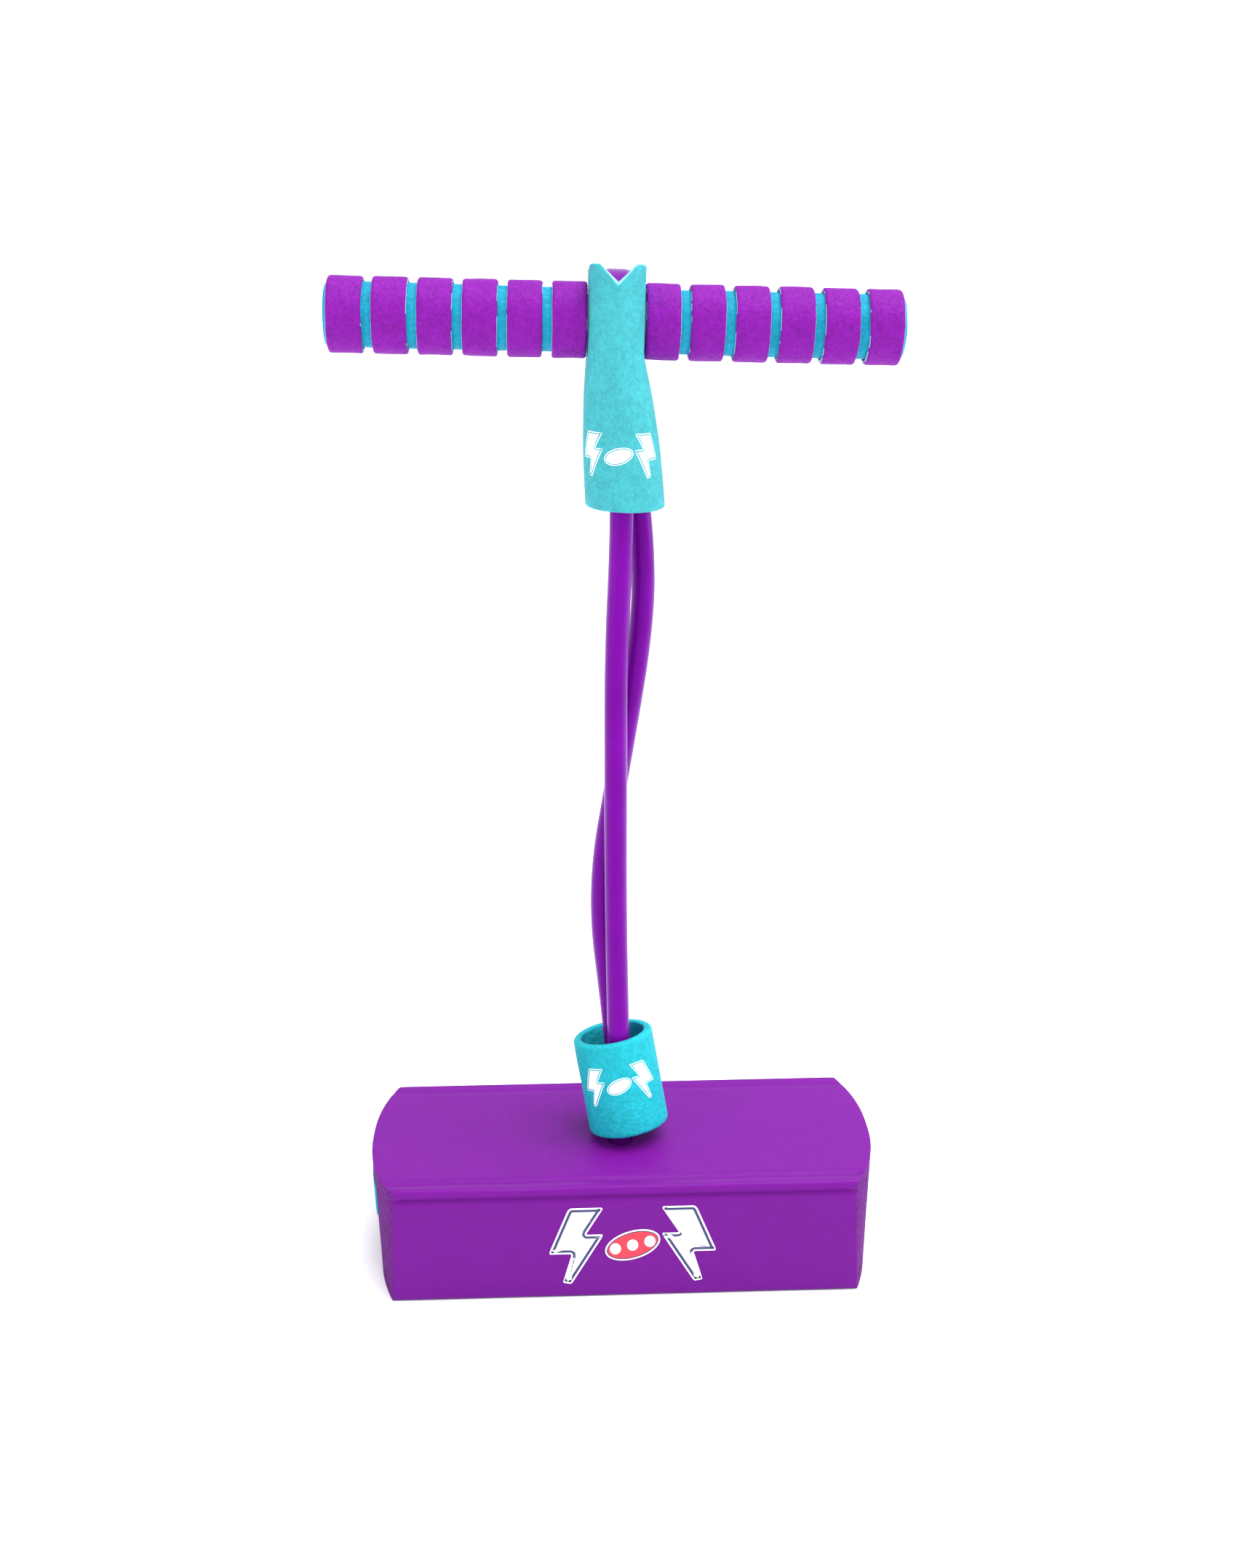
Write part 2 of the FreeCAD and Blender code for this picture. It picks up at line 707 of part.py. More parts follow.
def cord_pieces():
    """One cord, cut where the object bends or stretches it: tails, roots, strands and the loop's arch."""
    centre = Vector(size("cord_centre_x").number, size("cord_centre_y").number, 0)
    spread = Vector(0, CORD_SPACING.number / 2, 0)
    top = BASE_TOP.number
    clamp_foot = (size("sole_height") - size("anchor_thickness") - size("clamp_height")).number
    root_top = top + size("root_length").number
    loop_radius = LOOP_RADIUS.number
    leg = size("sleeve_leg").number
    bar_place = Placement(Vector(0, 0, BAR.number), BAR_TURN)
    pieces = []
    for side, name, route in ((-1, "front", FRONT_ROUTE), (1, "rear", REAR_ROUTE)):
        foot = centre + spread * side
        at = [foot + Vector(0, 0, z) for z in (clamp_foot, top, root_top)]
        pieces.append(cord(f"cord_tail_{name}", at[:2]))
        pieces.append(cord(f"cord_root_{name}", at[1:]))
        leg_end = bar_place.multVec(Vector(0, side * loop_radius, -leg))
        under_leg = bar_place.multVec(Vector(0, side * loop_radius, -leg * 2))
        first = foot + Vector(0, 0, root_top + leg)
        points = [at[2], first, *(Vector(*p) for p in route), under_leg, leg_end]
        pieces.append(cord(f"cord_{name}", points))
    radius = CORD_RADIUS.number
    low, high = Vector(0, -loop_radius, -leg), Vector(0, loop_radius, -leg)
    rise = Vector(0, 0, leg)
    path = Part.Wire(
        [
            Part.LineSegment(low, low + rise).toShape(),
            Part.Arc(low + rise, Vector(0, 0, loop_radius), high + rise).toShape(),
            Part.LineSegment(high + rise, high).toShape(),
        ]
    )
    section = Part.Wire([Part.Circle(low, Vector(0, 0, 1), radius).toShape()])
    arch = doc.addObject("Part::Feature", "cord_arch")
    arch.Label = "cord_arch"
    arch.Shape = path.makePipeShell([section], True, True)
    arch.Placement = bar_place
    return [*pieces, arch]


# ---------------------------------------------------------------- the whole jumper

ring_count = int(size("ring_count").number)
SIDES = ((-1, "left"), (1, "right"))
nodes = [
    base_wrap(),
    base_core(),
    base_sole(),
    anchor_plate(),
    cord_clamp(),
    sole_plug(),
    squeaker_reed(),
    squeaker_bellows(),
    squeaker_cap(),
    collar(),
    sleeve(),
    handlebar_tube(),
    *(end_cap(side, f"end_cap_{word}") for side, word in SIDES),
    *(grip_core(side, f"grip_core_{word}") for side, word in SIDES),
    *(
        grip_ring(side, number, f"grip_ring_{word}_{number + 1}")
        for side, word in SIDES
        for number in range(ring_count)
    ),
    *cord_pieces(),
]

doc.recompute()
for thing in doc.Objects:
    if "Invalid" in thing.State or "Error" in thing.State:
        raise RuntimeError(f"{thing.Label} failed: {thing.State}")
for node in nodes:
    if node.Shape.isNull() or not node.Shape.isValid() or not node.Shape.Solids:
        raise RuntimeError(f"{node.Label} has no valid solid")

os.makedirs("parts", exist_ok=True)
for node in nodes:
    node.Shape.exportStep(f"parts/{node.Label}.step")
    print(f"{node.Label:22} {node.Shape.Volume:12.1f} mm3  solids {len(node.Shape.Solids)}")
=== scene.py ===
"""Foam pogo jumper: the looks of the foot block, cord loop, collar, sleeve and ribbed handlebar."""

import json
import math

import bmesh
import bpy
from bpy.props import FloatProperty, FloatVectorProperty, IntProperty, PointerProperty
from mathutils import Matrix, Vector, noise
from mathutils.bvhtree import BVHTree


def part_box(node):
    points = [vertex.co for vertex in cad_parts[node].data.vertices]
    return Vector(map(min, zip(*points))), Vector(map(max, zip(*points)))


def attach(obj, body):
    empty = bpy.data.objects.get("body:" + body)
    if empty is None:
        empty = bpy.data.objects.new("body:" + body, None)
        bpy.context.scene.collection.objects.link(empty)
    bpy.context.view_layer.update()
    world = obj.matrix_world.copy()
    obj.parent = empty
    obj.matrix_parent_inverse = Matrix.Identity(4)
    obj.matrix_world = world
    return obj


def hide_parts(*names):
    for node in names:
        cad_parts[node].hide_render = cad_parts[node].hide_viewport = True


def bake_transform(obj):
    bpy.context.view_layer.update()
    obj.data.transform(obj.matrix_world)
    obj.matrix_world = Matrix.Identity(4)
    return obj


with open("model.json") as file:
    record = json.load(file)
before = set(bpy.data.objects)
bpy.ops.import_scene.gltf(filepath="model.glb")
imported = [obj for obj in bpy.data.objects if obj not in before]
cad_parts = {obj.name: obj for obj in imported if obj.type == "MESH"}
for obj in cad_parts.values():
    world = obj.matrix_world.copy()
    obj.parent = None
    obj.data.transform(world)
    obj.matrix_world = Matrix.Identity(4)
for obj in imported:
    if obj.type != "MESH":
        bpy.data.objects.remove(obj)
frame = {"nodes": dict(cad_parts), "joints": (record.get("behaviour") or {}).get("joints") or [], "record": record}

bl_info = {
    "name": "Foam pogo jumper",
    "version": (1, 0, 0),
    "blender": (4, 5, 0),
    "location": "View3D > Sidebar > Jumper",
    "description": "Builds a child's foam pogo jumper round its packed frame",
    "category": "Object",
}

MM = 0.001
# Stands a turned piece, whose axis is X, upright.
UPRIGHT = Matrix(((0, 1, 0), (0, 0, 1), (1, 0, 0))).to_4x4()
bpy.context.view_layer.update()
BODIES = frame["record"]["behaviour"]["bodies"]
JOINTS = {joint["name"]: joint for joint in frame["joints"]}


# ---------------------------------------------------------------- places read from the frame


def bar_place():
    """The handlebar's own frame: its middle, with X along its axis."""
    joint = JOINTS["bar_spin"]
    along = Vector(joint["axis"]).normalized()
    depth = Vector((0.0, 1.0, 0.0))
    turn = Matrix((along, depth, along.cross(depth))).transposed().to_4x4()
    return Matrix.Translation(Vector(joint["pos_m"])) @ turn


BAR = bar_place()
BLOCK_LOW, BLOCK_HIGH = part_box("base_wrap")
CORE_LOW, CORE_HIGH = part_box("base_core")
PLUG_LOW, PLUG_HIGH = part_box("sole_plug")
PLATE_LOW, PLATE_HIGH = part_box("anchor_plate")
TAIL_LOW, TAIL_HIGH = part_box("cord_tail_front")
REAR_TAIL_LOW, REAR_TAIL_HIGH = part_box("cord_tail_rear")
PIVOT = Vector(JOINTS["sway_side"]["pos_m"])
CORD_RADIUS = (TAIL_HIGH.x - TAIL_LOW.x) / 2
FRONT_FOOT = (TAIL_LOW + TAIL_HIGH) / 2
REAR_FOOT = (REAR_TAIL_LOW + REAR_TAIL_HIGH) / 2


# ---------------------------------------------------------------- sizes and colours


def linear(hex_colour):
    """An sRGB hex colour as linear red, green, blue and alpha."""
    parts = [int(hex_colour[i : i + 2], 16) / 255 for i in (0, 2, 4)]
    bent = [p / 12.92 if p <= 0.04045 else ((p + 0.055) / 1.055) ** 2.4 for p in parts]
    return (*bent, 1.0)


def colour(title, hex_colour, says):
    return FloatVectorProperty(
        name=title, description=says, subtype="COLOR", size=4, min=0, max=1, default=linear(hex_colour)
    )


def length(title, millimetres, says):
    return FloatProperty(
        name=title, description=says, subtype="DISTANCE", unit="LENGTH", min=0, default=millimetres * MM
    )


class JumperColours(bpy.types.PropertyGroup):
    grip: colour("Grip rings", "7B1296", "Purple foam of the handlebar's rings")
    block: colour("Foot block", "660D80", "Purple foam of the foot block")
    block_cut: colour("Block's cut ends", "630B78", "Purple foam where the block was cut to length")
    groove: colour("Grip grooves", "1B97B6", "Teal foam under the grip rings")
    sleeve: colour("Sleeve", "40A7B0", "Teal foam of the sleeve")
    # Painted highlight: this paler teal is put on the sleeve's cut rim and the rings' cut sides for the light
    # those edges catch.
    rim_highlight: colour("Rim highlight", "8FC4D2", "Paler teal where a tube of foam was cut")
    collar: colour("Collar", "1EA9B7", "Teal foam of the collar")
    cord: colour("Cord", "660686", "Purple rubber of the cord")
    print_white: colour("Print white", "F2F3F8", "White ink")
    print_navy: colour("Print navy", "23285F", "Dark blue ink")
    print_red: colour("Print red", "D3243C", "Red ink")


class BlockSizes(bpy.types.PropertyGroup):
    wall: length("Side wall", 25.0, "Thickness of the wrap's front and back walls")
    top: length("Top", 10.5, "Thickness of the wrap's top")
    bead: length("Edge bead", 3.4, "Radius of the rolled bead along the long top edges")
    bead_rise: length("Bead rise", 1.1, "How far the bead stands out of the faces beside it")
    groove: length("Groove depth", 1.6, "Depth of the pressed line on each side of the bead")
    groove_back: length("Top groove", 9.4, "Distance of the bead's upper line from the block's face")
    groove_down: length("Face groove", 5.0, "Distance of the bead's lower line under the block's top")
    foot_round: length("Foot round", 2.2, "Radius of the long bottom edges")
    cut_round: length("Cut edge round", 0.7, "Radius of the edges where the foam was cut")
    bulge: length("End bulge", 10.6, "How far the ends curve out at the middle")
    wave: length("Unevenness", 0.28, "How far the moulded faces wander from flat")


class CollarSizes(bpy.types.PropertyGroup):
    outer: length("Outer radius", 19.8, "Outside radius of the collar")
    wall: length("Wall", 4.1, "Thickness of the collar's foam")
    tall: length("Length", 49.2, "Length of the collar")
    lip: length("Lip round", 1.7, "Radius of the collar's cut lips")


class SleeveSizes(bpy.types.PropertyGroup):
    wall: length("Wall", 4.0, "Thickness of the sleeve's foam")
    above: length("Above the bar", 26.0, "Height of the sleeve over the bar's axis")
    below: length("Below the bar", 81.6, "Depth of the sleeve under the bar's axis")
    straight: length("Straight below", 13.0, "Straight part under the bar's axis")
    half_width: length("Half width", 12.2, "Half the width where the grips press it")
    half_depth: length("Half depth", 26.4, "Half the depth where the cord stretches it")
    mouth_half_width: length("Mouth half width", 18.1, "Half the width at the mouth")
    mouth_half_depth: length("Mouth half depth", 18.9, "Half the depth at the mouth")
    mouth_shift: length("Mouth shift", 6.4, "How far the mouth hangs to the right")
    notch_half: length("Notch half width", 7.9, "Half the width of the V cut at its top")
    notch_deep: length("Notch depth", 8.8, "Depth of the V cut")
    rear_drop: length("Rear drop", 4.6, "How much lower the top is cut at the back")
    lip: length("Lip round", 1.1, "Radius of the sleeve's cut lips")


class GripSizes(bpy.types.PropertyGroup):
    ring_radius: length("Ring radius", 16.5, "Outside radius of a ring")
    ring_width: length("Ring width", 15.4, "Width of a ring")
    pitch: length("Pitch", 19.5, "Distance from one ring to the next")
    start: length("Start", 12.7, "Distance of the first ring from the bar's middle")
    core_radius: length("Core radius", 14.0, "Outside radius of the pale foam")
    ring_round: length("Ring edge round", 3.0, "Radius of a ring's outer edges")
    seed: IntProperty(name="Seed", description="Changes the foam's unevenness", default=7)


class JumperSizes(bpy.types.PropertyGroup):
    colours: PointerProperty(type=JumperColours)
    block: PointerProperty(type=BlockSizes)
    collar: PointerProperty(type=CollarSizes)
    sleeve: PointerProperty(type=SleeveSizes)
    grip: PointerProperty(type=GripSizes)


# ---------------------------------------------------------------- node trees


def add(tree, kind, settings, sockets):
    """Adds a node with its own settings and, by name or number, its sockets' values or the sockets
    that feed them."""
    made = tree.nodes.new(kind)
    for name, value in settings.items():
        setattr(made, name, value)
    for name, value in sockets.items():
        if isinstance(value, bpy.types.NodeSocket):
            tree.links.new(value, made.inputs[name])
        else:
            made.inputs[name].default_value = value
    return made


def surface(name, sockets, roughness):
    """A material with a Principled surface; sockets holds its plain values."""
    made = bpy.data.materials.new(name)
    made.use_nodes = True
    tree = made.node_tree
    tree.nodes.clear()
    shader = add(tree, "ShaderNodeBsdfPrincipled", {}, {"Roughness": roughness, **sockets})
    add(tree, "ShaderNodeOutputMaterial", {}, {"Surface": shader.outputs[0]})
    return made, tree, shader


def shade_of(tone, factor):
    return (*(min(1.0, c * factor) for c in tone[:3]), 1.0)


def own_place(tree):
    """The piece's own coordinates, in metres."""
    return add(tree, "ShaderNodeTexCoord", {}, {}).outputs["Object"]


def mottle(tree, place, scale, detail=2.0, roughness=0.5):
    """Soft noise from 0 to 1; scale is its waves in a metre."""
    sockets = {"Vector": place, "Scale": scale, "Detail": detail, "Roughness": roughness}
    return add(tree, "ShaderNodeTexNoise", {}, sockets).outputs["Fac"]


def mapped(tree, value, low, high, to_low, to_high):
    """Carries a value from one range over to another."""
    sockets = {"Value": value, "From Min": low, "From Max": high, "To Min": to_low, "To Max": to_high}
    return add(tree, "ShaderNodeMapRange", {}, sockets).outputs["Result"]


def two_tone(tree, value, dark, light, start=0.0, end=1.0):
    """A colour that runs from dark to light while the value goes from start to end."""
    made = add(tree, "ShaderNodeValToRGB", {}, {"Fac": value})
    first, last = made.color_ramp.elements
    first.position, last.position = start, end
    first.color, last.color = dark, light
    return made.outputs["Color"]


def multiplied(tree, first, second):
    """The product of two colours."""
    settings = {"data_type": "RGBA", "blend_type": "MULTIPLY"}
    return add(tree, "ShaderNodeMix", settings, {0: 1.0, 6: first, 7: second}).outputs[2]


def relief(tree, shader, height, strength, depth):
    """Gives the surface a fine relief."""
    sockets = {"Strength": strength, "Distance": depth, "Height": height}
    bump = add(tree, "ShaderNodeBump", {}, sockets)
    tree.links.new(bump.outputs["Normal"], shader.inputs["Normal"])


def foam(name, tone, cell, pit, patch, rough=0.62, contrast=0.16):
    """Closed-cell foam: cell is the size of its skin's grain and patch that of its paler and darker
    clouds, in metres; pit is the depth of the grain."""
    made, tree, shader = surface(name, {"IOR": 1.46, "Specular IOR Level": 0.12}, rough)
    place = own_place(tree)
    clouds = mottle(tree, place, 1 / patch, 3.0, 0.55)
    grain = mottle(tree, place, 1 / cell, 2.5, 0.62)
    spacing = {"Vector": place, "Scale": 0.8 / cell, "Smoothness": 0.6}
    cells = add(tree, "ShaderNodeTexVoronoi", {"feature": "SMOOTH_F1"}, spacing).outputs["Distance"]
    dark, light = shade_of(tone, 1 - contrast / 2), shade_of(tone, 1 + contrast / 2)
    cloudy = two_tone(tree, clouds, dark, light, 0.3, 0.7)
    speck = mapped(tree, grain, 0.32, 0.68, 0.0, 1.0)
    tint = two_tone(tree, speck, shade_of((1, 1, 1), 1 - contrast), (1, 1, 1, 1))
    tree.links.new(multiplied(tree, cloudy, tint), shader.inputs["Base Color"])
    gloss = mapped(tree, grain, 0.3, 0.7, rough + 0.1, rough - 0.08)
    tree.links.new(gloss, shader.inputs["Roughness"])
    height = add(tree, "ShaderNodeMath", {"operation": "ADD"}, {0: grain, 1: cells})
    relief(tree, shader, height.outputs[0], 1.0, pit)
    return made


def rubber_cord(name, tone):
    """Extruded rubber cord: glossy, with faint die lines, a slow waver in its shine, and a band of
    painted shade just over the block, where the cord goes in under the collar."""
    shine = {"IOR": 1.5, "Specular IOR Level": 0.25, "Specular Tint": (0.55, 0.12, 0.8, 1.0)}
    made, tree, shader = surface(name, shine, 0.24)
    place = own_place(tree)
    drawn_out = add(tree, "ShaderNodeMapping", {}, {"Vector": place, "Scale": (1.0, 1.0, 0.04)})
    lines = mottle(tree, drawn_out.outputs[0], 900.0)
    waver = mottle(tree, place, 45.0)
    cloudy = two_tone(tree, waver, shade_of(tone, 0.88), shade_of(tone, 1.1), 0.3, 0.7)
    height = add(tree, "ShaderNodeSeparateXYZ", {}, {"Vector": place}).outputs["Z"]
    # Painted shade: the colour darkens to 0.15 round a band 14 mm over the cord's foot, where it goes into the
    # block under the collar.
    band = FRONT_FOOT.z + 14 * MM
    over = add(tree, "ShaderNodeMath", {"operation": "SUBTRACT"}, {0: height, 1: band})
    apart = add(tree, "ShaderNodeMath", {"operation": "ABSOLUTE"}, {0: over.outputs[0]})
    painted_shade = mapped(tree, apart.outputs[0], 0.0, 18 * MM, 0.15, 1.0)
    tree.links.new(multiplied(tree, cloudy, painted_shade), shader.inputs["Base Color"])
    tree.links.new(mapped(tree, waver, 0.3, 0.7, 0.2, 0.3), shader.inputs["Roughness"])
    relief(tree, shader, lines, 0.5, 0.03 * MM)
    return made


def ink(name, tone):
    """Screen-printed ink on foam: flat and even, with the foam's grain just showing through."""
    made, tree, shader = surface(name, {"IOR": 1.5}, 0.45)
    grain = mottle(tree, own_place(tree), 900.0, 2.0, 0.6)
    even = two_tone(tree, grain, shade_of(tone, 0.9), tone, 0.25, 0.6)
    tree.links.new(even, shader.inputs["Base Color"])
    relief(tree, shader, grain, 0.35, 0.08 * MM)
    return made


def moulded_plastic(name, tone, rough):
    """Injection-moulded plastic: an even satin with a fine spark-eroded texture."""
    made, tree, shader = surface(name, {"IOR": 1.49}, rough)
    place = own_place(tree)
    grain = mottle(tree, place, 1400.0, 2.0, 0.6)
    flow = mottle(tree, place, 60.0)
    even = two_tone(tree, flow, shade_of(tone, 0.93), shade_of(tone, 1.04))
    tree.links.new(even, shader.inputs["Base Color"])
    relief(tree, shader, grain, 0.4, 0.03 * MM)
    return made


def finishes():
    """Every material, made once and found again by name."""
    tones = bpy.context.scene.jumper.colours
    makers = {
        # Nitrile foam, its skin ground to size: a fine even nap with small pale and dark clouds.
        "nitrile_foam_purple": lambda n: foam(n, tones.grip, 1.3 * MM, 0.2 * MM, 4 * MM, contrast=0.24),
        # Nitrile foam as extruded: a little smoother, seen at the bottom of the grooves.
        "nitrile_foam_teal": lambda n: foam(n, tones.groove, 1.5 * MM, 0.2 * MM, 5 * MM, contrast=0.24),
        # The same foam in the sleeve, with a pebbled skin of about a millimetre.
        "nitrile_foam_sleeve": lambda n: foam(n, tones.sleeve, 1.6 * MM, 0.26 * MM, 6 * MM, contrast=0.2),
        "nitrile_foam_collar": lambda n: foam(n, tones.collar, 1.6 * MM, 0.26 * MM, 5 * MM, contrast=0.2),
        # Ethylene-vinyl acetate foam with its moulded skin: smooth, slightly waxy, cloudy.
        "eva_foam_skin": lambda n: foam(
            n, tones.block, 0.8 * MM, 0.05 * MM, 14 * MM, rough=0.45, contrast=0.06
        ),
        # The same foam cut with a hot wire: open cells, duller, with pits drawn larger than life.
        "eva_foam_cut": lambda n: foam(
            n, tones.block_cut, 1.4 * MM, 0.45 * MM, 6 * MM, rough=0.75, contrast=0.4
        ),
        # Painted highlight: a paler teal on the sleeve's cut rim and the rings' cut sides, standing in for the
        # light that these edges catch.
        "nitrile_foam_rim_highlight": lambda n: foam(n, tones.rim_highlight, 1.0 * MM, 0.15 * MM, 5 * MM, contrast=0.1),
        "rubber_extruded": lambda n: rubber_cord(n, tones.cord),
        "ink_white": lambda n: ink(n, tones.print_white),
        "ink_navy": lambda n: ink(n, tones.print_navy),
        "ink_red": lambda n: ink(n, tones.print_red),
        # Polypropylene, moulded white for the hidden pipe, plate and clamp.
        "polypropylene_white": lambda n: moulded_plastic(n, linear("DADCE0"), 0.42),
        # Vinyl for the squeaker: softer and yellower, with a low shine.
        "vinyl_cream": lambda n: moulded_plastic(n, linear("D9D2BE"), 0.55),
    }
    return makers


def finish(name):
    return bpy.data.materials.get(name) or finishes()[name](name)


# ---------------------------------------------------------------- mesh helpers


def linked(name, data):
    """An object that holds the data, linked to the scene."""
    made = bpy.data.objects.new(name, data)
    bpy.context.scene.collection.objects.link(made)
    return made


def face_outwards(mesh, close=False):
    """Turns every normal outwards, and first fills the mesh's holes if it is to be closed."""
    work = bmesh.new()
    work.from_mesh(mesh)
    if close:
        bmesh.ops.holes_fill(work, edges=[e for e in work.edges if e.is_boundary])
    bmesh.ops.recalc_face_normals(work, faces=work.faces)
    work.to_mesh(mesh)
    work.free()


def piece(name, points, faces, materials, face_slots=None):
    """A mesh object at the origin, smooth, with outward normals."""
    mesh = bpy.data.meshes.new(name)
    mesh.from_pydata([tuple(p) for p in points], [], faces)
    for material in materials:
        mesh.materials.append(finish(material))
    if face_slots:
        mesh.polygons.foreach_set("material_index", face_slots)
    made = linked(name, mesh)
    face_outwards(mesh)
    mesh.shade_smooth()
    return made


def apply_all(made):
    """Turns the object's modifiers into its plain mesh."""
    graph = bpy.context.evaluated_depsgraph_get()
    mesh = bpy.data.meshes.new_from_object(made.evaluated_get(graph))
    old = made.data
    made.modifiers.clear()
    made.data = mesh
    mesh.name = made.name
    bpy.data.meshes.remove(old)
    return made


def crease(made, degrees=38.0):
    made.data.shade_smooth()
    made.data.set_sharp_from_angle(angle=math.radians(degrees))
    return made


def cut(made, *cutters):
    """Takes the cutters out of the piece."""
    for cutter in cutters:
        step = made.modifiers.new(cutter.name, "BOOLEAN")
        step.operation = "DIFFERENCE"
        step.solver = "EXACT"
        step.object = cutter
    apply_all(made)
    for cutter in cutters:
        bpy.data.objects.remove(cutter)
    return made


def soften(made, width, segments=3, degrees=42.0):
    """Rounds every sharp edge of the piece."""
    step = made.modifiers.new("round", "BEVEL")
    step.width = width
    step.segments = segments
    step.limit_method = "ANGLE"
    step.angle_limit = math.radians(degrees)
    step.harden_normals = False
    return apply_all(made)


def strips(rows, columns, closed_rows=False, closed_columns=False, first=0):
    """Quads over a grid of points numbered row by row."""
    faces = []
    for r in range(rows if closed_rows else rows - 1):
        for c in range(columns if closed_columns else columns - 1):
            a, b = r * columns, ((r + 1) % rows) * columns
            d = (c + 1) % columns
            faces.append((first + a + c, first + a + d, first + b + d, first + b + c))
    return faces


def arc(centre, radius, start, end, count):
    """Points on an arc in the plane, angles in degrees."""
    steps = [math.radians(start + (end - start) * i / (count - 1)) for i in range(count)]
    return [(centre[0] + radius * math.cos(a), centre[1] + radius * math.sin(a)) for a in steps]


def spread(start, end, count):
    return [start + (end - start) * i / (count - 1) for i in range(count)]


def smooth_step(value):
    value = min(1.0, max(0.0, value))
    return value * value * (3 - 2 * value)


def wander(point, wavelength, seed=0.0):
    """Smooth noise from -1 to 1 that changes over about a wavelength."""
    return noise.noise(Vector(point) / wavelength + Vector((seed, seed * 1.7, -seed)))


def ripple(made, depth, wavelength, seed):
    """Moves the piece's points along their normals by a slow unevenness."""
    mesh = made.data
    normals = [v.normal.copy() for v in mesh.vertices]
    for vertex, normal in zip(mesh.vertices, normals):
        vertex.co += normal * depth * wander(vertex.co, wavelength, seed)
    return made


def turned(name, outline, segments, place, materials, slots=None, closed=True):
    """Turns an outline of (along, radius) points about X and puts it in place."""
    points = []
    for along, radius in outline:
        for i in range(segments):
            angle = 2 * math.pi * i / segments
            spot = Vector((along, radius * math.cos(angle), radius * math.sin(angle)))
            points.append(place @ spot)
    faces = strips(len(outline), segments, closed_rows=closed, closed_columns=True)
    face_slots = None
    if slots:
        face_slots = [slots[i // segments] for i in range(len(faces))]
    return piece(name, points, faces, materials, face_slots)


def tube(name, line, radius, segments, materials):
    """A round tube along a smooth line of points, with a dome at each end."""
    tangents = []
    for i, spot in enumerate(line):
        before, after = line[max(i - 1, 0)], line[min(i + 1, len(line) - 1)]
        tangents.append((after - before).normalized())
    side = tangents[0].orthogonal().normalized()
    rings = []
    dome = 5
    for i, (spot, along) in enumerate(zip(line, tangents)):
        side = (side - along * side.dot(along)).normalized()
        across = along.cross(side)
        rings.append((spot, along, side, across))
    loops = []

    def ring(spot, side, across, wide):
        steps = [2 * math.pi * k / segments for k in range(segments)]
        return [spot + (side * math.cos(a) + across * math.sin(a)) * wide for a in steps]

    for k in range(1, dome + 1):
        angle = math.pi / 2 * k / (dome + 1)
        spot, along, side, across = rings[0]
        back = radius * math.cos(angle)
        loops.append(ring(spot - along * back, side, across, radius * math.sin(angle)))
    for spot, along, side, across in rings:
        loops.append(ring(spot, side, across, radius))
    for k in range(dome, 0, -1):
        angle = math.pi / 2 * k / (dome + 1)
        spot, along, side, across = rings[-1]
        on = radius * math.cos(angle)
        loops.append(ring(spot + along * on, side, across, radius * math.sin(angle)))
    points = [p for loop in loops for p in loop]
    faces = strips(len(loops), segments, closed_columns=True)
    first, last = line[0] - tangents[0] * radius, line[-1] + tangents[-1] * radius
    points += [first, last]
    start, end = len(points) - 2, len(points) - 1
    top = (len(loops) - 1) * segments
    for k in range(segments):
        nxt = (k + 1) % segments
        faces.append((start, nxt, k))
        faces.append((end, top + k, top + nxt))
    return piece(name, points, faces, materials)


def smooth_line(points, samples):
    """Points along the NURBS curve that the given points control."""
    curve = bpy.data.curves.new("line", "CURVE")
    curve.dimensions = "3D"
    spline = curve.splines.new("NURBS")
    spline.points.add(len(points) - 1)
    for target, spot in zip(spline.points, points):
        target.co = (*spot, 1.0)
    spline.order_u = 3
    spline.use_endpoint_u = True
    spline.resolution_u = samples
    holder = linked("line", curve)
    graph = bpy.context.evaluated_depsgraph_get()
    mesh = bpy.data.meshes.new_from_object(holder.evaluated_get(graph))
    found = [v.co.copy() for v in mesh.vertices]
    bpy.data.objects.remove(holder)
    bpy.data.curves.remove(curve)
    bpy.data.meshes.remove(mesh)
    return found


# ---------------------------------------------------------------- foot block


BULGE_POWER = 2.4
FOOT_DRAW_IN, TOP_SPREAD = 2.2 * MM, 0.4 * MM
FRONT_FOOT_FULLER, FRONT_TOP_LEANER = 1.6 * MM, 3.0 * MM


def end_reach(y, z, extra=0.0):
    """How far the bulged end stands from the middle at y from the centreline and z up the block."""
    bulge = bpy.context.scene.jumper.block.bulge
    up = z / BLOCK_HIGH.z
    reach = BLOCK_HIGH.x + extra + TOP_SPREAD * up - FOOT_DRAW_IN * (1 - up)
    if y < 0:
        bulge += FRONT_TOP_LEANER * up - FRONT_FOOT_FULLER * (1 - up)
    return reach - bulge * (abs(y) / BLOCK_HIGH.y) ** BULGE_POWER


def rounded(y, z, half, top, top_round, foot_round):
    """Draws a point of the block's square section in to its rounded corners."""
    for edge, radius in ((top, top_round), (0.0, foot_round)):
        centre_z = edge - radius if edge else radius
        out_z = z - centre_z if edge else centre_z - z
        out_y = abs(y) - (half - radius)
        if radius and out_z > 0 and out_y > 0:
            reach = math.hypot(out_y, out_z)
            share = max(out_y, out_z) / reach
            z_sign = 1 if edge else -1
            y = math.copysign(half - radius + out_y * share, y)
            z = centre_z + z_sign * out_z * share
    return y, z


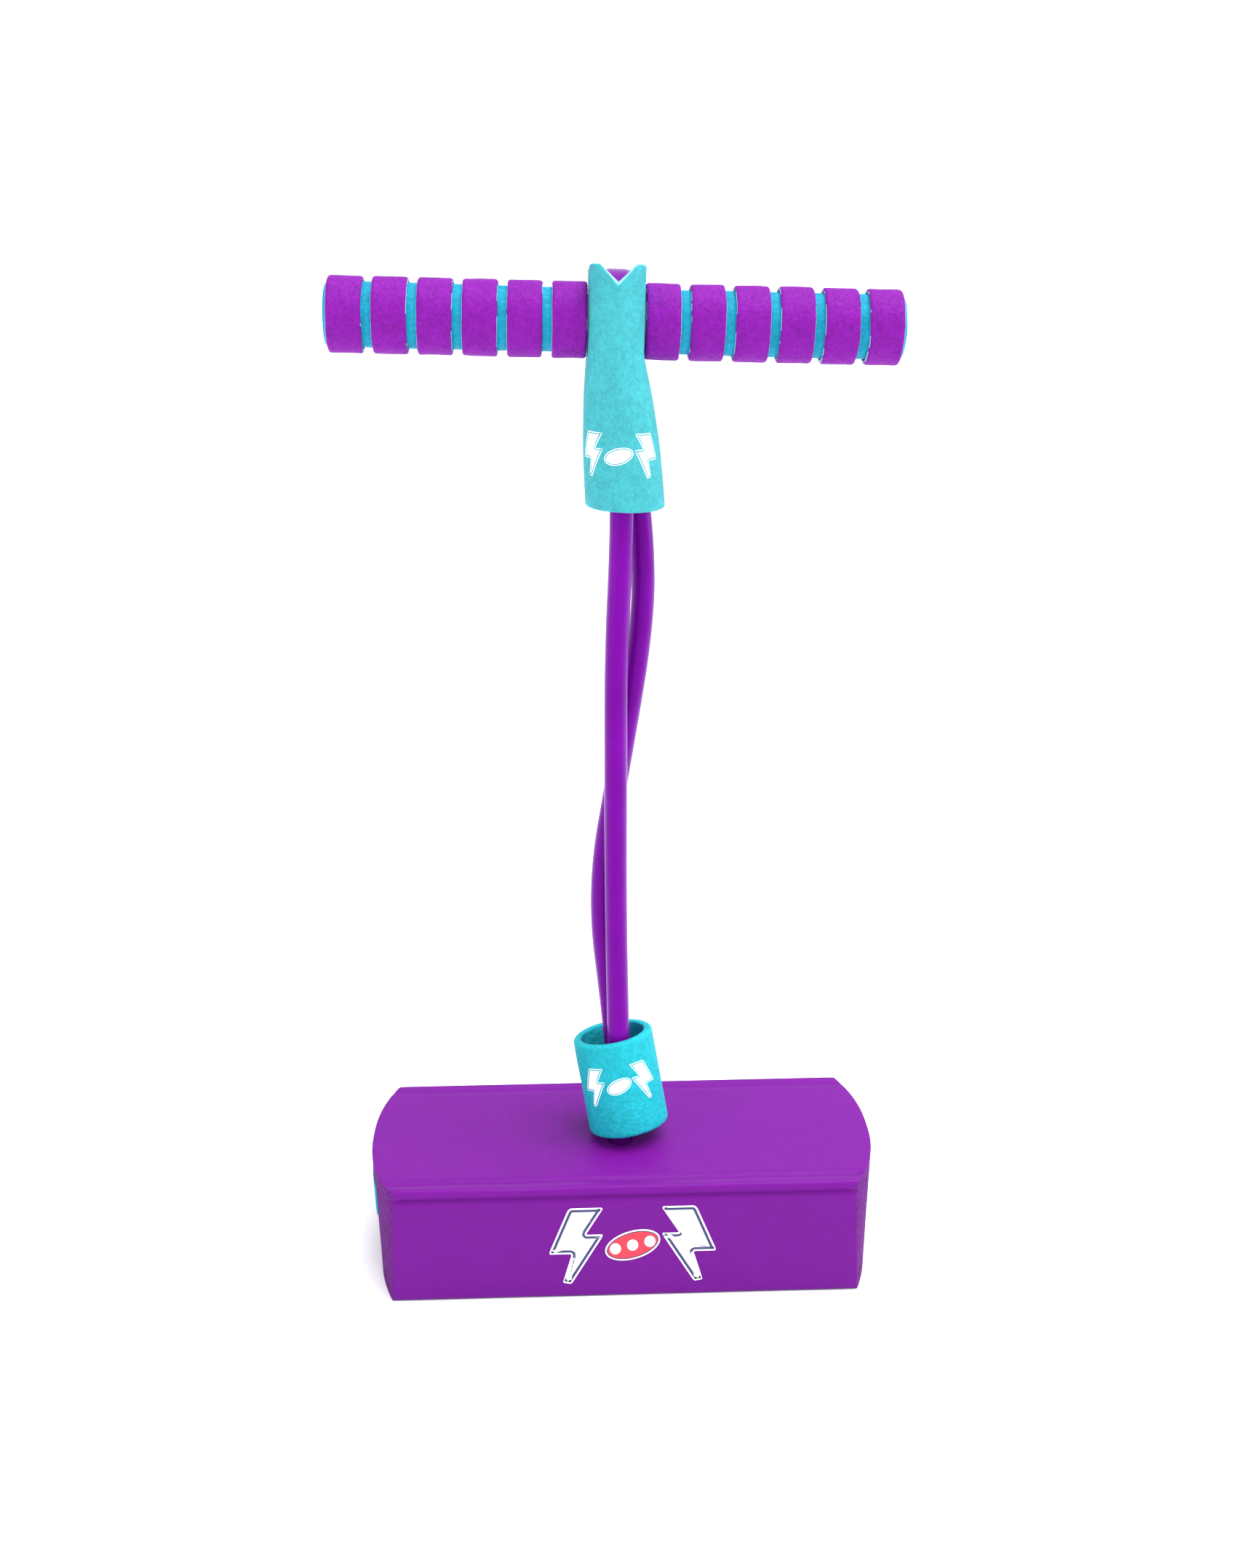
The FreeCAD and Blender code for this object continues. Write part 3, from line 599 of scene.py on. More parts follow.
def block(name, half, low, high, extra, rounds, materials, counts=(110, 60, 34)):
    """A length of foam with bulged ends. Its end faces use the second material."""
    along, across, up = counts
    index, points, faces, slots = {}, [], [], []
    stations = [-math.cos(math.pi * i / across) for i in range(across + 1)]
    stations = [0.45 * s + 0.55 * (2 * i / across - 1) for i, s in enumerate(stations)]
    levels = [(-math.cos(math.pi * i / up) + 1) / 2 for i in range(up + 1)]

    def spot(i, j, k):
        if (i, j, k) not in index:
            y, z = stations[j] * half, low + levels[k] * (high - low)
            y, z = rounded(y, z, half, high, *rounds)
            x = (2 * i / along - 1) * end_reach(y, z, extra)
            index[(i, j, k)] = len(points)
            points.append(Vector((x, y, z)))
        return index[(i, j, k)]

    def wall(corners, is_end):
        faces.append([spot(*c) for c in corners])
        slots.append(1 if is_end and len(materials) > 1 else 0)

    for i in range(along):
        for j in range(across):
            for k in (0, up):
                wall([(i, j, k), (i + 1, j, k), (i + 1, j + 1, k), (i, j + 1, k)], False)
        for k in range(up):
            for j in (0, across):
                wall([(i, j, k), (i + 1, j, k), (i + 1, j, k + 1), (i, j, k + 1)], False)
    for j in range(across):
        for k in range(up):
            for i in (0, along):
                wall([(i, j, k), (i, j + 1, k), (i, j + 1, k + 1), (i, j, k + 1)], True)
    return piece(name, points, faces, materials, slots)


def prism(name, half_x, low, high, centre=(0.0, 0.0), half_y=None, segments=64):
    """A cutter: an upright cylinder, or a slot when half_y is longer than half_x."""
    reach = (half_y or half_x) - half_x
    outline = []
    for i in range(segments):
        angle = 2 * math.pi * i / segments
        shift = math.copysign(reach, math.sin(angle)) if reach else 0.0
        outline.append((centre[0] + half_x * math.cos(angle), centre[1] + shift + half_x * math.sin(angle)))
    points = [Vector((x, y, z)) for z in (low, high) for x, y in outline]
    faces = strips(2, segments, closed_columns=True)
    faces.append(tuple(range(segments)))
    faces.append(tuple(range(segments, 2 * segments)))
    return piece(name, points, faces, [])


def box_cutter(name, low, high):
    xs, ys, zs = zip(low, high)
    points = [Vector((x, y, z)) for x in xs for y in ys for z in zs]
    faces = [(0, 1, 3, 2), (4, 6, 7, 5), (0, 4, 5, 1), (2, 3, 7, 6), (0, 2, 6, 4), (1, 5, 7, 3)]
    return piece(name, points, faces, [])


def cord_slot(name, low, high):
    """The cutter for the slot that both strands pass through."""
    gap = 0.4 * MM
    middle = (FRONT_FOOT + REAR_FOOT) / 2
    half = CORD_RADIUS + gap
    long_half = half + (REAR_FOOT.y - FRONT_FOOT.y) / 2
    return prism(name, half, low, high, (middle.x, middle.y), long_half)


# The pressed lines beside the bead are fainter at the back. Their half widths, and the bead's.
REAR_CREASE = 0.25
TOP_LINE, FACE_LINE, BEAD_SPREAD = 1.7 * MM, 1.2 * MM, 3.6 * MM
ON_FACE = 0.3 * MM


class JUMPER_OT_foot_wrap(bpy.types.Operator):
    """Builds the foot block's outer foam: rolled beads along its long top edges, bulged cut ends"""

    bl_idname = "jumper.foot_wrap"
    bl_label = "Foot block wrap"

    def execute(self, context):
        sizes = context.scene.jumper.block
        half, top = BLOCK_HIGH.y, BLOCK_HIGH.z
        inner = half - sizes.wall
        made = block(
            "foot_block_wrap",
            half,
            0.0,
            top,
            0.0,
            (sizes.bead, sizes.foot_round),
            ["eva_foam_skin", "eva_foam_cut"],
            (110, 76, 48),
        )
        for vertex in made.data.vertices:
            spot = vertex.co
            below, behind = top - spot.z, half - abs(spot.y)
            fade = smooth_step((end_reach(spot.y, spot.z) - abs(spot.x)) / (3 * MM)) * 0.6 + 0.4
            out = Vector((0.0, math.copysign(1.0, spot.y), 0.0))
            if spot.y > 0:
                fade *= REAR_CREASE
            if below < ON_FACE and behind > sizes.bead:
                line = math.exp(-(((behind - sizes.groove_back) / TOP_LINE) ** 2))
                spot.z -= sizes.groove * line * fade
            elif behind < ON_FACE and below > sizes.bead:
                line = math.exp(-(((below - sizes.groove_down) / FACE_LINE) ** 2))
                spot -= out * sizes.groove * 0.8 * line * fade
            if below < sizes.groove_down and behind < sizes.groove_back:
                from_bead = math.hypot(below - 1.5 * MM, behind - 2.5 * MM)
                swell = math.exp(-((from_bead / BEAD_SPREAD) ** 2)) * fade
                spot += (out + Vector((0, 0, 1))).normalized() * sizes.bead_rise * swell
            level = Vector((spot.x, spot.y * 0.6, spot.z))
            if below < 1 * MM and behind > sizes.bead:
                spot.z += sizes.wave * wander(level, 34 * MM, 3.0) - sizes.wave / 2
            elif behind < 1 * MM:
                spot += out * (sizes.wave * wander(level, 30 * MM, 5.0) - sizes.wave / 2) * 0.8
        far = BLOCK_HIGH.x * 1.2
        channel = box_cutter("channel", (-far, -inner, -top), (far, inner, top - sizes.top))
        cut(made, channel, cord_slot("slot", top / 2, top * 1.5))
        soften(made, sizes.cut_round)
        crease(made)
        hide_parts("base_wrap")
        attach(made, "base")
        return {"FINISHED"}


class JUMPER_OT_foot_layers(bpy.types.Operator):
    """Builds the pale core layer, the sole with its round recess, and the plug that closes it"""

    bl_idname = "jumper.foot_layers"
    bl_label = "Foot block layers"

    def execute(self, context):
        sizes = context.scene.jumper.block
        glue = 0.15 * MM
        half = BLOCK_HIGH.y - sizes.wall - glue
        counts = (60, 40, 14)
        core = block(
            "foot_block_core",
            half,
            CORE_LOW.z + glue,
            CORE_HIGH.z - glue,
            0.3 * MM,
            (0.0, 0.0),
            ["nitrile_foam_teal"],
            counts,
        )
        core.data.transform(Matrix.Translation((-0.25 * MM, 0, 0)))
        cap_low, cap_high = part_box("squeaker_cap")
        reed_low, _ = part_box("squeaker_reed")
        middle = (cap_low + cap_high) / 2
        well = (cap_high.x - cap_low.x) / 2 + 2.5 * MM
        above = CORE_HIGH.z + 5 * MM
        cut(
            core,
            prism("well", well, reed_low.z, above, (middle.x, middle.y)),
            cord_slot("slot", 0.0, above),
        )
        sole = block(
            "foot_block_sole",
            half,
            0.0,
            CORE_LOW.z,
            -0.2 * MM,
            (0.0, 0.0),
            ["eva_foam_cut"],
            counts,
        )
        recess = PLATE_HIGH.x + 0.3 * MM
        cut(sole, prism("recess", recess, -10 * MM, CORE_LOW.z + 10 * MM))
        for made, node, slot in (
            (core, "base_core", "teal_foam"),
            (sole, "base_sole", "base_purple_foam"),
        ):
            soften(made, 0.6 * MM, segments=2)
            crease(made)
            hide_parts(node)
            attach(made, "base")
        radius, high, lip = PLUG_HIGH.x, PLUG_HIGH.z, 1.0 * MM
        outline = [(0.0, 0.02 * MM)]
        outline += [(0.0, radius * share) for share in (0.25, 0.5, 0.75, 0.93)]
        outline += [(x + lip, y + radius - lip) for x, y in arc((0, 0), lip, 180, 90, 5)]
        outline += [(x + high - lip, y + radius - lip) for x, y in arc((0, 0), lip, 90, 0, 5)]
        outline += [(high, radius * share) for share in (0.93, 0.5)]
        outline += [(high, 0.02 * MM)]
        plug = turned("sole_plug_pad", outline, 72, UPRIGHT, ["eva_foam_cut"])
        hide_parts("sole_plug")
        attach(plug, "base")
        return {"FINISHED"}


# ---------------------------------------------------------------- squeaker and anchor


class JUMPER_OT_inner_parts(bpy.types.Operator):
    """Finishes the moulded parts inside the block and the bar, and builds the squeaker's bellows"""

    bl_idname = "jumper.inner_parts"
    bl_label = "Inner parts"

    def execute(self, context):
        worn = {
            "polypropylene_white": (
                "anchor_plate",
                "cord_clamp",
                "handlebar_tube",
                "end_cap_left",
                "end_cap_right",
            ),
            "vinyl_cream": ("squeaker_reed", "squeaker_cap"),
        }
        for material, nodes in worn.items():
            for name in nodes:
                mesh = frame["nodes"][name].data
                mesh.materials.clear()
                mesh.materials.append(finish(material))
        low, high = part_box("squeaker_bellows")
        radius, tall = (high.x - low.x) / 2, high.z - low.z
        fold, wall, steps = 2.4 * MM, 1.1 * MM, 28
        outside, inside = [], []
        for i in range(steps + 1):
            share = i / steps
            wave = (1 - math.cos(4 * math.pi * share)) / 2
            outside.append((share * tall, radius - fold + fold * wave))
            inside.append((min(share * tall, tall - wall), radius - fold - wall + fold * wave))
        crown = [(tall, radius * 0.5), (tall, 0.02 * MM), (tall - wall, 0.02 * MM)]
        middle = Vector(((low.x + high.x) / 2, (low.y + high.y) / 2, low.z))
        upright = Matrix.Translation(middle) @ UPRIGHT
        outline = outside + crown + inside[::-1]
        made = turned("squeaker_bulb", outline, 64, upright, ["vinyl_cream"])
        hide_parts("squeaker_bellows")
        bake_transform(made)
        return {"FINISHED"}


# ---------------------------------------------------------------- cord

# Where the two strands run between the block and the sleeve: x, y, z in metres.
FRONT_ROUTE = [
    (-0.0012, -0.0031, 0.121),
    (-0.0021, -0.0043, 0.180),
    (-0.0017, -0.0058, 0.250),
    (-0.0012, -0.0063, 0.312),
    (0.0019, -0.0070, 0.368),
    (0.0016, -0.0092, 0.404),
]
REAR_ROUTE = [
    (-0.0036, 0.0080, 0.121),
    (-0.0109, 0.0073, 0.190),
    (0.0011, 0.0058, 0.258),
    (0.0122, 0.0056, 0.325),
    (0.0119, 0.0058, 0.368),
    (0.0062, 0.0086, 0.406),
]


# The widest the cord's loop may stand from the bar's axis inside the tight sleeve.
LOOP_MOST = 16.65 * MM


def press_over_bar(made, loop):
    """Squares and widens the loop's section where the tight sleeve presses it over the bar."""
    back = BAR.inverted()
    for vertex in made.data.vertices:
        spot = back @ vertex.co
        if spot.z <= 0:
            continue
        pressed = smooth_step((spot.z - 2 * MM) / (9 * MM))
        reach = math.hypot(spot.y, spot.z)
        angle = math.atan2(reach - loop, spot.x)
        power = 2 + 2.4 * pressed
        square = (abs(math.cos(angle)) ** power + abs(math.sin(angle)) ** power) ** (-1 / power)
        far = math.hypot(reach - loop, spot.x) * square
        new_reach = loop + far * math.sin(angle) * (1 + 0.02 * pressed) + 0.35 * MM * pressed
        spot.x = far * math.cos(angle) * (1 + 0.27 * pressed)
        spot.y *= new_reach / reach
        spot.z *= new_reach / reach
        vertex.co = BAR @ spot


class JUMPER_OT_cord(bpy.types.Operator):
    """Builds the rubber cord: one loop from the block's top over the handlebar, and its ends below"""

    bl_idname = "jumper.cord"
    bl_label = "Rubber cord"

    def execute(self, context):
        arch_low, arch_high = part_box("cord_arch")
        loop = (arch_high.y - arch_low.y) / 2 - CORD_RADIUS
        loop = min(loop, LOOP_MOST)
        leg = 12 * MM
        front_foot = Vector((FRONT_FOOT.x, FRONT_FOOT.y, PIVOT.z))
        rear_foot = Vector((REAR_FOOT.x, REAR_FOOT.y, PIVOT.z))
        rise = Vector((0, 0, 16 * MM))
        # Known fault: these points run from the rear to the front, so between the legs the cord
        # crosses itself under the bar's axis and goes through the pipe, hidden by the sleeve.
        over = []
        for angle in range(180, -1, -30):
            bend = math.radians(angle)
            corner = 1.0 if angle in (0, 180) else 1 / math.cos(math.radians(9))
            reach = loop * corner
            over.append(BAR @ Vector((0, -reach * math.cos(bend), reach * math.sin(bend))))
        legs = [BAR @ Vector((0, -loop, -leg * n)) for n in (2, 1)]
        legs_down = [BAR @ Vector((0, loop, -leg * n)) for n in (1, 2)]
        route = [front_foot, front_foot + rise]
        route += [Vector(p) for p in FRONT_ROUTE]
        route += legs + over + legs_down
        route += [Vector(p) for p in reversed(REAR_ROUTE)]
        route += [rear_foot + rise, rear_foot]
        made = tube("cord_loop", smooth_line(route, 16), CORD_RADIUS * 1.02, 36, ["rubber_extruded"])
        press_over_bar(made, loop)
        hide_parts("cord_front", "cord_rear", "cord_arch")
        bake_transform(made)
        for word, foot in (("front", front_foot), ("rear", rear_foot)):
            low = Vector((foot.x, foot.y, TAIL_LOW.z + CORD_RADIUS))
            line = [low.lerp(foot, i / 8) for i in range(9)]
            tail = tube(f"cord_tail_{word}_end", line, CORD_RADIUS * 0.995, 32, ["rubber_extruded"])
            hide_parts(f"cord_tail_{word}")
            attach(tail, "base")
            near = Vector((0, 0, 0.4 * MM))
            line = [foot - near, foot, foot + near]
            bead = tube(f"cord_bend_{word}", line, CORD_RADIUS * 0.985, 32, ["rubber_extruded"])
            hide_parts(f"cord_root_{word}")
            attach(bead, "cord_root")
        return {"FINISHED"}


# ---------------------------------------------------------------- collar

COLLAR_FOOT = Vector((4.0, -2.0, 65.95)) * MM
COLLAR_LEAN_LEFT = math.radians(9.5)
COLLAR_LEAN_BACK = math.radians(8.0)
OUT_OF_ROUND = 1.006


def collar_place():
    tip = Matrix.Rotation(-COLLAR_LEAN_BACK, 4, "X")
    lean = Matrix.Rotation(-COLLAR_LEAN_LEFT, 4, "Y")
    return Matrix.Translation(COLLAR_FOOT) @ tip @ lean


def tube_outline(inner, outer, low, high, lip, rows):
    """The closed outline of a tube's wall as (along, radius) points, with rounded lips."""
    outline = [(z, outer) for z in spread(low + lip, high - lip, rows)]
    outline += [(high - lip + y, outer - lip + x) for x, y in arc((0, 0), lip, 0, 90, 7)[1:]]
    inner_lip = lip * 0.7
    outline += [(high - inner_lip + y, inner + inner_lip + x) for x, y in arc((0, 0), inner_lip, 90, 180, 6)]
    outline += [(z, inner) for z in spread(high - lip, low + lip, rows)][1:-1]
    outline += [(low + inner_lip + y, inner + inner_lip + x) for x, y in arc((0, 0), inner_lip, 180, 270, 6)]
    outline += [(low + lip + y, outer - lip + x) for x, y in arc((0, 0), lip, 270, 360, 7)[:-1]]
    return outline


class JUMPER_OT_collar(bpy.types.Operator):
    """Builds the loose foam collar that stands on the block and leans against the strands"""

    bl_idname = "jumper.collar"
    bl_label = "Collar"

    def execute(self, context):
        sizes = context.scene.jumper.collar
        inner = sizes.outer - sizes.wall
        outline = tube_outline(inner, sizes.outer, 0.0, sizes.tall, sizes.lip, 34)
        made = turned("collar_foam", outline, 112, UPRIGHT, ["nitrile_foam_collar"])
        for vertex in made.data.vertices:
            vertex.co.x *= OUT_OF_ROUND
            vertex.co.y *= 2 - OUT_OF_ROUND
        ripple(made, 0.22 * MM, 16 * MM, 2.0)
        made.data.transform(collar_place())
        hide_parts("collar")
        print_on_tube(made, collar_place(), sizes.outer, -0.9 * MM, 27.3 * MM, "collar", "collar")
        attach(made, "collar")
        return {"FINISHED"}


# ---------------------------------------------------------------- sleeve


def sleeve_section(level, less=0.0):
    """Half width, half depth and shift of the sleeve at a level under or over the bar's axis."""
    sizes = bpy.context.scene.jumper.sleeve
    down = (-level - sizes.straight) / (sizes.below - sizes.straight)
    down = min(1.0, max(0.0, down))
    widening = 1 - (1 - down) ** 2
    wide = sizes.half_width + (sizes.mouth_half_width - sizes.half_width) * widening
    deep = sizes.half_depth + (sizes.mouth_half_depth - sizes.half_depth) * down * down
    return wide - less, deep - less, sizes.mouth_shift * down


def obround(half_width, half_depth, arcs, sides):
    """A slot outline with the same number of points at every size, from its front middle round."""
    reach = max(half_depth - half_width, 0.0)
    outline = []
    outline += [(x, y - reach) for x, y in arc((0, 0), half_width, 270, 360, arcs)][:-1]
    outline += [(half_width, y) for y in spread(-reach, reach, sides)][:-1]
    outline += [(x, y + reach) for x, y in arc((0, 0), half_width, 0, 180, 2 * arcs - 1)][:-1]
    outline += [(-half_width, y) for y in spread(reach, -reach, sides)][:-1]
    outline += [(x, y - reach) for x, y in arc((0, 0), half_width, 180, 270, arcs)][:-1]
    return outline


class JUMPER_OT_sleeve(bpy.types.Operator):
    """Builds the foam sleeve over the cord's loop, with the V cut across its top"""

    bl_idname = "jumper.sleeve"
    bl_label = "Sleeve"

    def execute(self, context):
        sizes = context.scene.jumper.sleeve
        lip, wall = sizes.lip, sizes.wall
        rows = 52
        length_all = sizes.above + sizes.below
        steps = [(s, 0.0) for s in spread(lip / length_all, 1 - lip / length_all, rows)]
        rim = [(1 - (lip - y) / length_all, lip - x) for x, y in arc((0, 0), lip, 0, 90, 6)[1:]]
        rim += [(1 - (lip - y) / length_all, wall - lip - x) for x, y in arc((0, 0), lip, 90, 180, 6)]
        down = [(s, wall) for s in spread(1 - lip / length_all, lip / length_all, rows)][1:-1]
        foot = [((lip + y) / length_all, wall - lip - x) for x, y in arc((0, 0), lip, 180, 270, 6)]
        foot += [((lip + y) / length_all, lip - x) for x, y in arc((0, 0), lip, 270, 360, 6)[:-1]]
        path = steps + rim + down + foot
        points = []
        count = 0
        for share, less in path:
            straight_level = -sizes.below + share * length_all
            wide, deep, shift = sleeve_section(straight_level, less)
            outline = obround(wide, deep, 15, 13)
            count = len(outline)
            for x, y in outline:
                side = max(0.0, 1 - abs(x) / sizes.notch_half)
                near_rim = smooth_step((share - 0.6) / 0.4)
                slant = 1 - 0.2 * min(less, wall) / wall
                slope = sizes.rear_drop * smooth_step((y + deep) / (1.6 * deep))
                level = straight_level - (sizes.notch_deep * side * slant + slope) * near_rim
                points.append(Vector((x + shift, y, level)))
        faces = strips(len(path), count, closed_rows=True, closed_columns=True)
        # Painted highlight: the faces round the cut rim at the top, the V included, take the paler rim colour.
        slots = [0] * len(faces)
        rim_faces = slice((len(steps) + 2) * count, (len(steps) + len(rim) - 1) * count)
        slots[rim_faces] = [1] * len(slots[rim_faces])
        made = piece("sleeve_foam", points, faces, ["nitrile_foam_sleeve", "nitrile_foam_rim_highlight"], slots)
        pipe_low, pipe_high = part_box("handlebar_tube")
        hole = (pipe_high.y - pipe_low.y) / 2 + 0.15 * MM
        across = 60 * MM
        cutter = turned(
            "pipe_hole", [(-across, hole), (across, hole)], 64, Matrix.Identity(4), [], closed=False
        )
        face_outwards(cutter.data, close=True)
        cut(made, cutter)
        crease(made, 50.0)
        ripple(made, 0.2 * MM, 18 * MM, 8.0)
        made.data.transform(BAR)
        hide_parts("sleeve")
        level = -58 * MM
        wide, deep, shift = sleeve_section(level)
        place = BAR @ Matrix.Translation(Vector((shift, -(deep - wide), level)))
        print_on_tube(made, place, wide, -2.3 * MM, 2.2 * MM, "handle", "sleeve")
        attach(made, "handle")
        return {"FINISHED"}


# ---------------------------------------------------------------- grips


def ring_tree():
    """Foam rings set along X: a filleted rectangle swept round a circle, repeated, made a little
    uneven, with the cut sides in their own paler material, a painted highlight."""
    tree = bpy.data.node_groups.new("foam_rings", "GeometryNodeTree")
    face = tree.interface
    numbers = ["Ring Radius", "Bore Radius", "Ring Width", "Pitch", "First Ring", "Edge Round", "Unevenness"]
    for name in numbers:
        face.new_socket(name, in_out="INPUT", socket_type="NodeSocketFloat")
    for name in ("Rings", "Around", "Seed"):
        face.new_socket(name, in_out="INPUT", socket_type="NodeSocketInt")
    for name in ("Skin", "Side Highlight"):
        face.new_socket(name, in_out="INPUT", socket_type="NodeSocketMaterial")
    face.new_socket("Geometry", in_out="OUTPUT", socket_type="NodeSocketGeometry")
    given = add(tree, "NodeGroupInput", {}, {}).outputs

    def maths(operation, first, second):
        return add(tree, "ShaderNodeMath", {"operation": operation}, {0: first, 1: second}).outputs[0]

    thick = maths("SUBTRACT", given["Ring Radius"], given["Bore Radius"])
    middle = maths("ADD", given["Bore Radius"], maths("MULTIPLY", thick, 0.5))
    sockets = {"Width": thick, "Height": given["Ring Width"]}
    section = add(tree, "GeometryNodeCurvePrimitiveQuadrilateral", {"mode": "RECTANGLE"}, sockets)
    soft = add(
        tree,
        "GeometryNodeFilletCurve",
        {"mode": "POLY"},
        {"Curve": section.outputs["Curve"], "Count": 6, "Radius": given["Edge Round"], "Limit Radius": True},
    )
    sockets = {"Curve": soft.outputs["Curve"], "Length": 0.65 * MM}
    fine = add(tree, "GeometryNodeResampleCurve", {"mode": "LENGTH"}, sockets)
    sockets = {"Resolution": given["Around"], "Radius": middle}
    hoop = add(tree, "GeometryNodeCurvePrimitiveCircle", {"mode": "RADIUS"}, sockets)
    sockets = {"Curve": hoop.outputs["Curve"], "Profile Curve": fine.outputs["Curve"]}
    swept = add(tree, "GeometryNodeCurveToMesh", {}, sockets)
    sockets = {"Geometry": swept.outputs["Mesh"], "Rotation": (0.0, math.pi / 2, 0.0)}
    on_side = add(tree, "GeometryNodeTransform", {}, sockets)
    half = maths("MULTIPLY", given["Ring Width"], 0.5)
    first = maths("ADD", given["First Ring"], half)
    start = add(tree, "ShaderNodeCombineXYZ", {}, {"X": first})
    step = add(tree, "ShaderNodeCombineXYZ", {}, {"X": given["Pitch"]})
    sockets = {"Count": given["Rings"], "Start Location": start.outputs[0], "Offset": step.outputs[0]}
    row = add(tree, "GeometryNodeMeshLine", {"mode": "OFFSET"}, sockets)
    sockets = {"Points": row.outputs["Mesh"], "Instance": on_side.outputs["Geometry"]}
    rings = add(tree, "GeometryNodeInstanceOnPoints", {}, sockets)
    real = add(tree, "GeometryNodeRealizeInstances", {}, {"Geometry": rings.outputs["Instances"]})
    sockets = {"Scale": 90.0, "Detail": 2.0, "W": given["Seed"]}
    lumps = add(tree, "ShaderNodeTexNoise", {"noise_dimensions": "4D"}, sockets)
    sockets = {0: lumps.outputs["Color"], 1: (0.5, 0.5, 0.5)}
    centred = add(tree, "ShaderNodeVectorMath", {"operation": "SUBTRACT"}, sockets)
    sockets = {0: centred.outputs[0], "Scale": given["Unevenness"]}
    moved = add(tree, "ShaderNodeVectorMath", {"operation": "SCALE"}, sockets)
    sockets = {"Geometry": real.outputs["Geometry"], "Offset": moved.outputs[0]}
    uneven = add(tree, "GeometryNodeSetPosition", {}, sockets)
    round_off = add(tree, "GeometryNodeSetShadeSmooth", {}, {"Geometry": uneven.outputs["Geometry"]})
    sockets = {"Geometry": round_off.outputs["Geometry"], "Material": given["Skin"]}
    skin = add(tree, "GeometryNodeSetMaterial", {}, sockets)
    normal = add(tree, "GeometryNodeInputNormal", {}, {})
    parts = add(tree, "ShaderNodeSeparateXYZ", {}, {"Vector": normal.outputs[0]})
    faces_side = maths("GREATER_THAN", maths("ABSOLUTE", parts.outputs["X"], 0.0), 0.93)
    sockets = {"Geometry": skin.outputs["Geometry"], "Selection": faces_side, "Material": given["Side Highlight"]}
    side_highlight = add(tree, "GeometryNodeSetMaterial", {}, sockets)
    add(tree, "NodeGroupOutput", {}, {"Geometry": side_highlight.outputs["Geometry"]})
    return tree


def grown(name, tree, values):
    """Runs a node tree on an empty mesh and returns the result as a plain mesh object."""
    made = linked(name, bpy.data.meshes.new(name))
    step = made.modifiers.new("grow", "NODES")
    step.node_group = tree
    for item in tree.interface.items_tree:
        if item.in_out == "INPUT" and item.name in values:
            step[item.identifier] = values[item.name]
    return apply_all(made)


class JUMPER_OT_grips(bpy.types.Operator):
    """Builds both grips: a pale foam tube with a domed end, and its row of foam rings"""

    bl_idname = "jumper.grips"
    bl_label = "Grips"

    def execute(self, context):
        sizes = context.scene.jumper.grip
        tree = ring_tree()
        bore = (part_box("handlebar_tube")[1].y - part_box("handlebar_tube")[0].y) / 2 + 0.1 * MM
        for word, side in (("left", -1), ("right", 1)):
            nodes = [n for n in BODIES["bar"] if n.startswith(f"grip_ring_{word}")]
            rings = grown(
                f"grip_rings_{word}",
                tree,
                {
                    "Ring Radius": sizes.ring_radius,
                    "Bore Radius": sizes.core_radius - 0.2 * MM,
                    "Ring Width": sizes.ring_width,
                    "Pitch": sizes.pitch,
                    "First Ring": sizes.start,
                    "Edge Round": sizes.ring_round,
                    "Unevenness": 0.9 * MM,
                    "Rings": len(nodes),
                    "Around": 88,
                    "Seed": sizes.seed + side,
                    "Skin": finish("nitrile_foam_purple"),
                    # Painted highlight: the rings' flat cut sides get the paler teal rim colour.
                    "Side Highlight": finish("nitrile_foam_rim_highlight"),
                },
            )
            turn = Matrix.Rotation(math.pi, 4, "Z") if side < 0 else Matrix.Identity(4)
            rings.data.transform(BAR @ turn)
            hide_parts(*nodes)
            end = sizes.start + sizes.pitch * len(nodes) - (sizes.pitch - sizes.ring_width)
            self.core(word, BAR @ turn, sizes, bore, end)
            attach(rings, "bar")
        return {"FINISHED"}

    def core(self, word, place, sizes, bore, end):
        """The pale foam tube, a closed cup over the pipe's end."""
        dome, lip = 1.7 * MM, 2.4 * MM
        radius = sizes.core_radius
        outline = [(x, radius) for x in spread(sizes.start, end - 1 * MM, 90)]
        for share in spread(0.0, 1.0, 9):
            angle = share * math.pi / 2
            outline.append((end - 1 * MM + lip * math.sin(angle), radius - 2 * MM * (1 - math.cos(angle))))
        rim = outline[-1][1]
        crown = outline[-1][0]
        for share in (0.85, 0.7, 0.5, 0.3, 0.12):
            outline.append((crown + (dome - 1.4 * MM) * (1 - share * share), rim * share))
        outline.append((crown + dome - 1.4 * MM, 0.02 * MM))
        outline.append((end + 0.35 * MM, 0.02 * MM))
        outline += [(end + 0.35 * MM, bore * share) for share in (0.5, 1.0)]
        outline += [(x, bore) for x in spread(end, sizes.start, 30)]
        made = turned(f"grip_core_{word}_foam", outline, 72, Matrix.Identity(4), ["nitrile_foam_teal"])
        ripple(made, 0.25 * MM, 9 * MM, 4.0)
        made.data.transform(place)
        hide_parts(f"grip_core_{word}")
        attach(made, "bar")


# ---------------------------------------------------------------- printed patches


def oval(centre, half_width, half_height, slant=0.0, count=80):
    outline = []
    for i in range(count):
        angle = math.pi / 2 + 2 * math.pi * i / count
        x, y = half_width * math.cos(angle), half_height * math.sin(angle)
        outline.append(Vector((centre[0] + x, centre[1] + y + slant * x)))
    return outline


def grow(outline, by):
    """The outline moved out by a distance, or in when by is negative."""
    count, moved = len(outline), []
    for i, spot in enumerate(outline):
        along = (outline[(i + 1) % count] - outline[i - 1]).normalized()
        moved.append(spot + Vector((along.y, -along.x)) * by)
    return moved


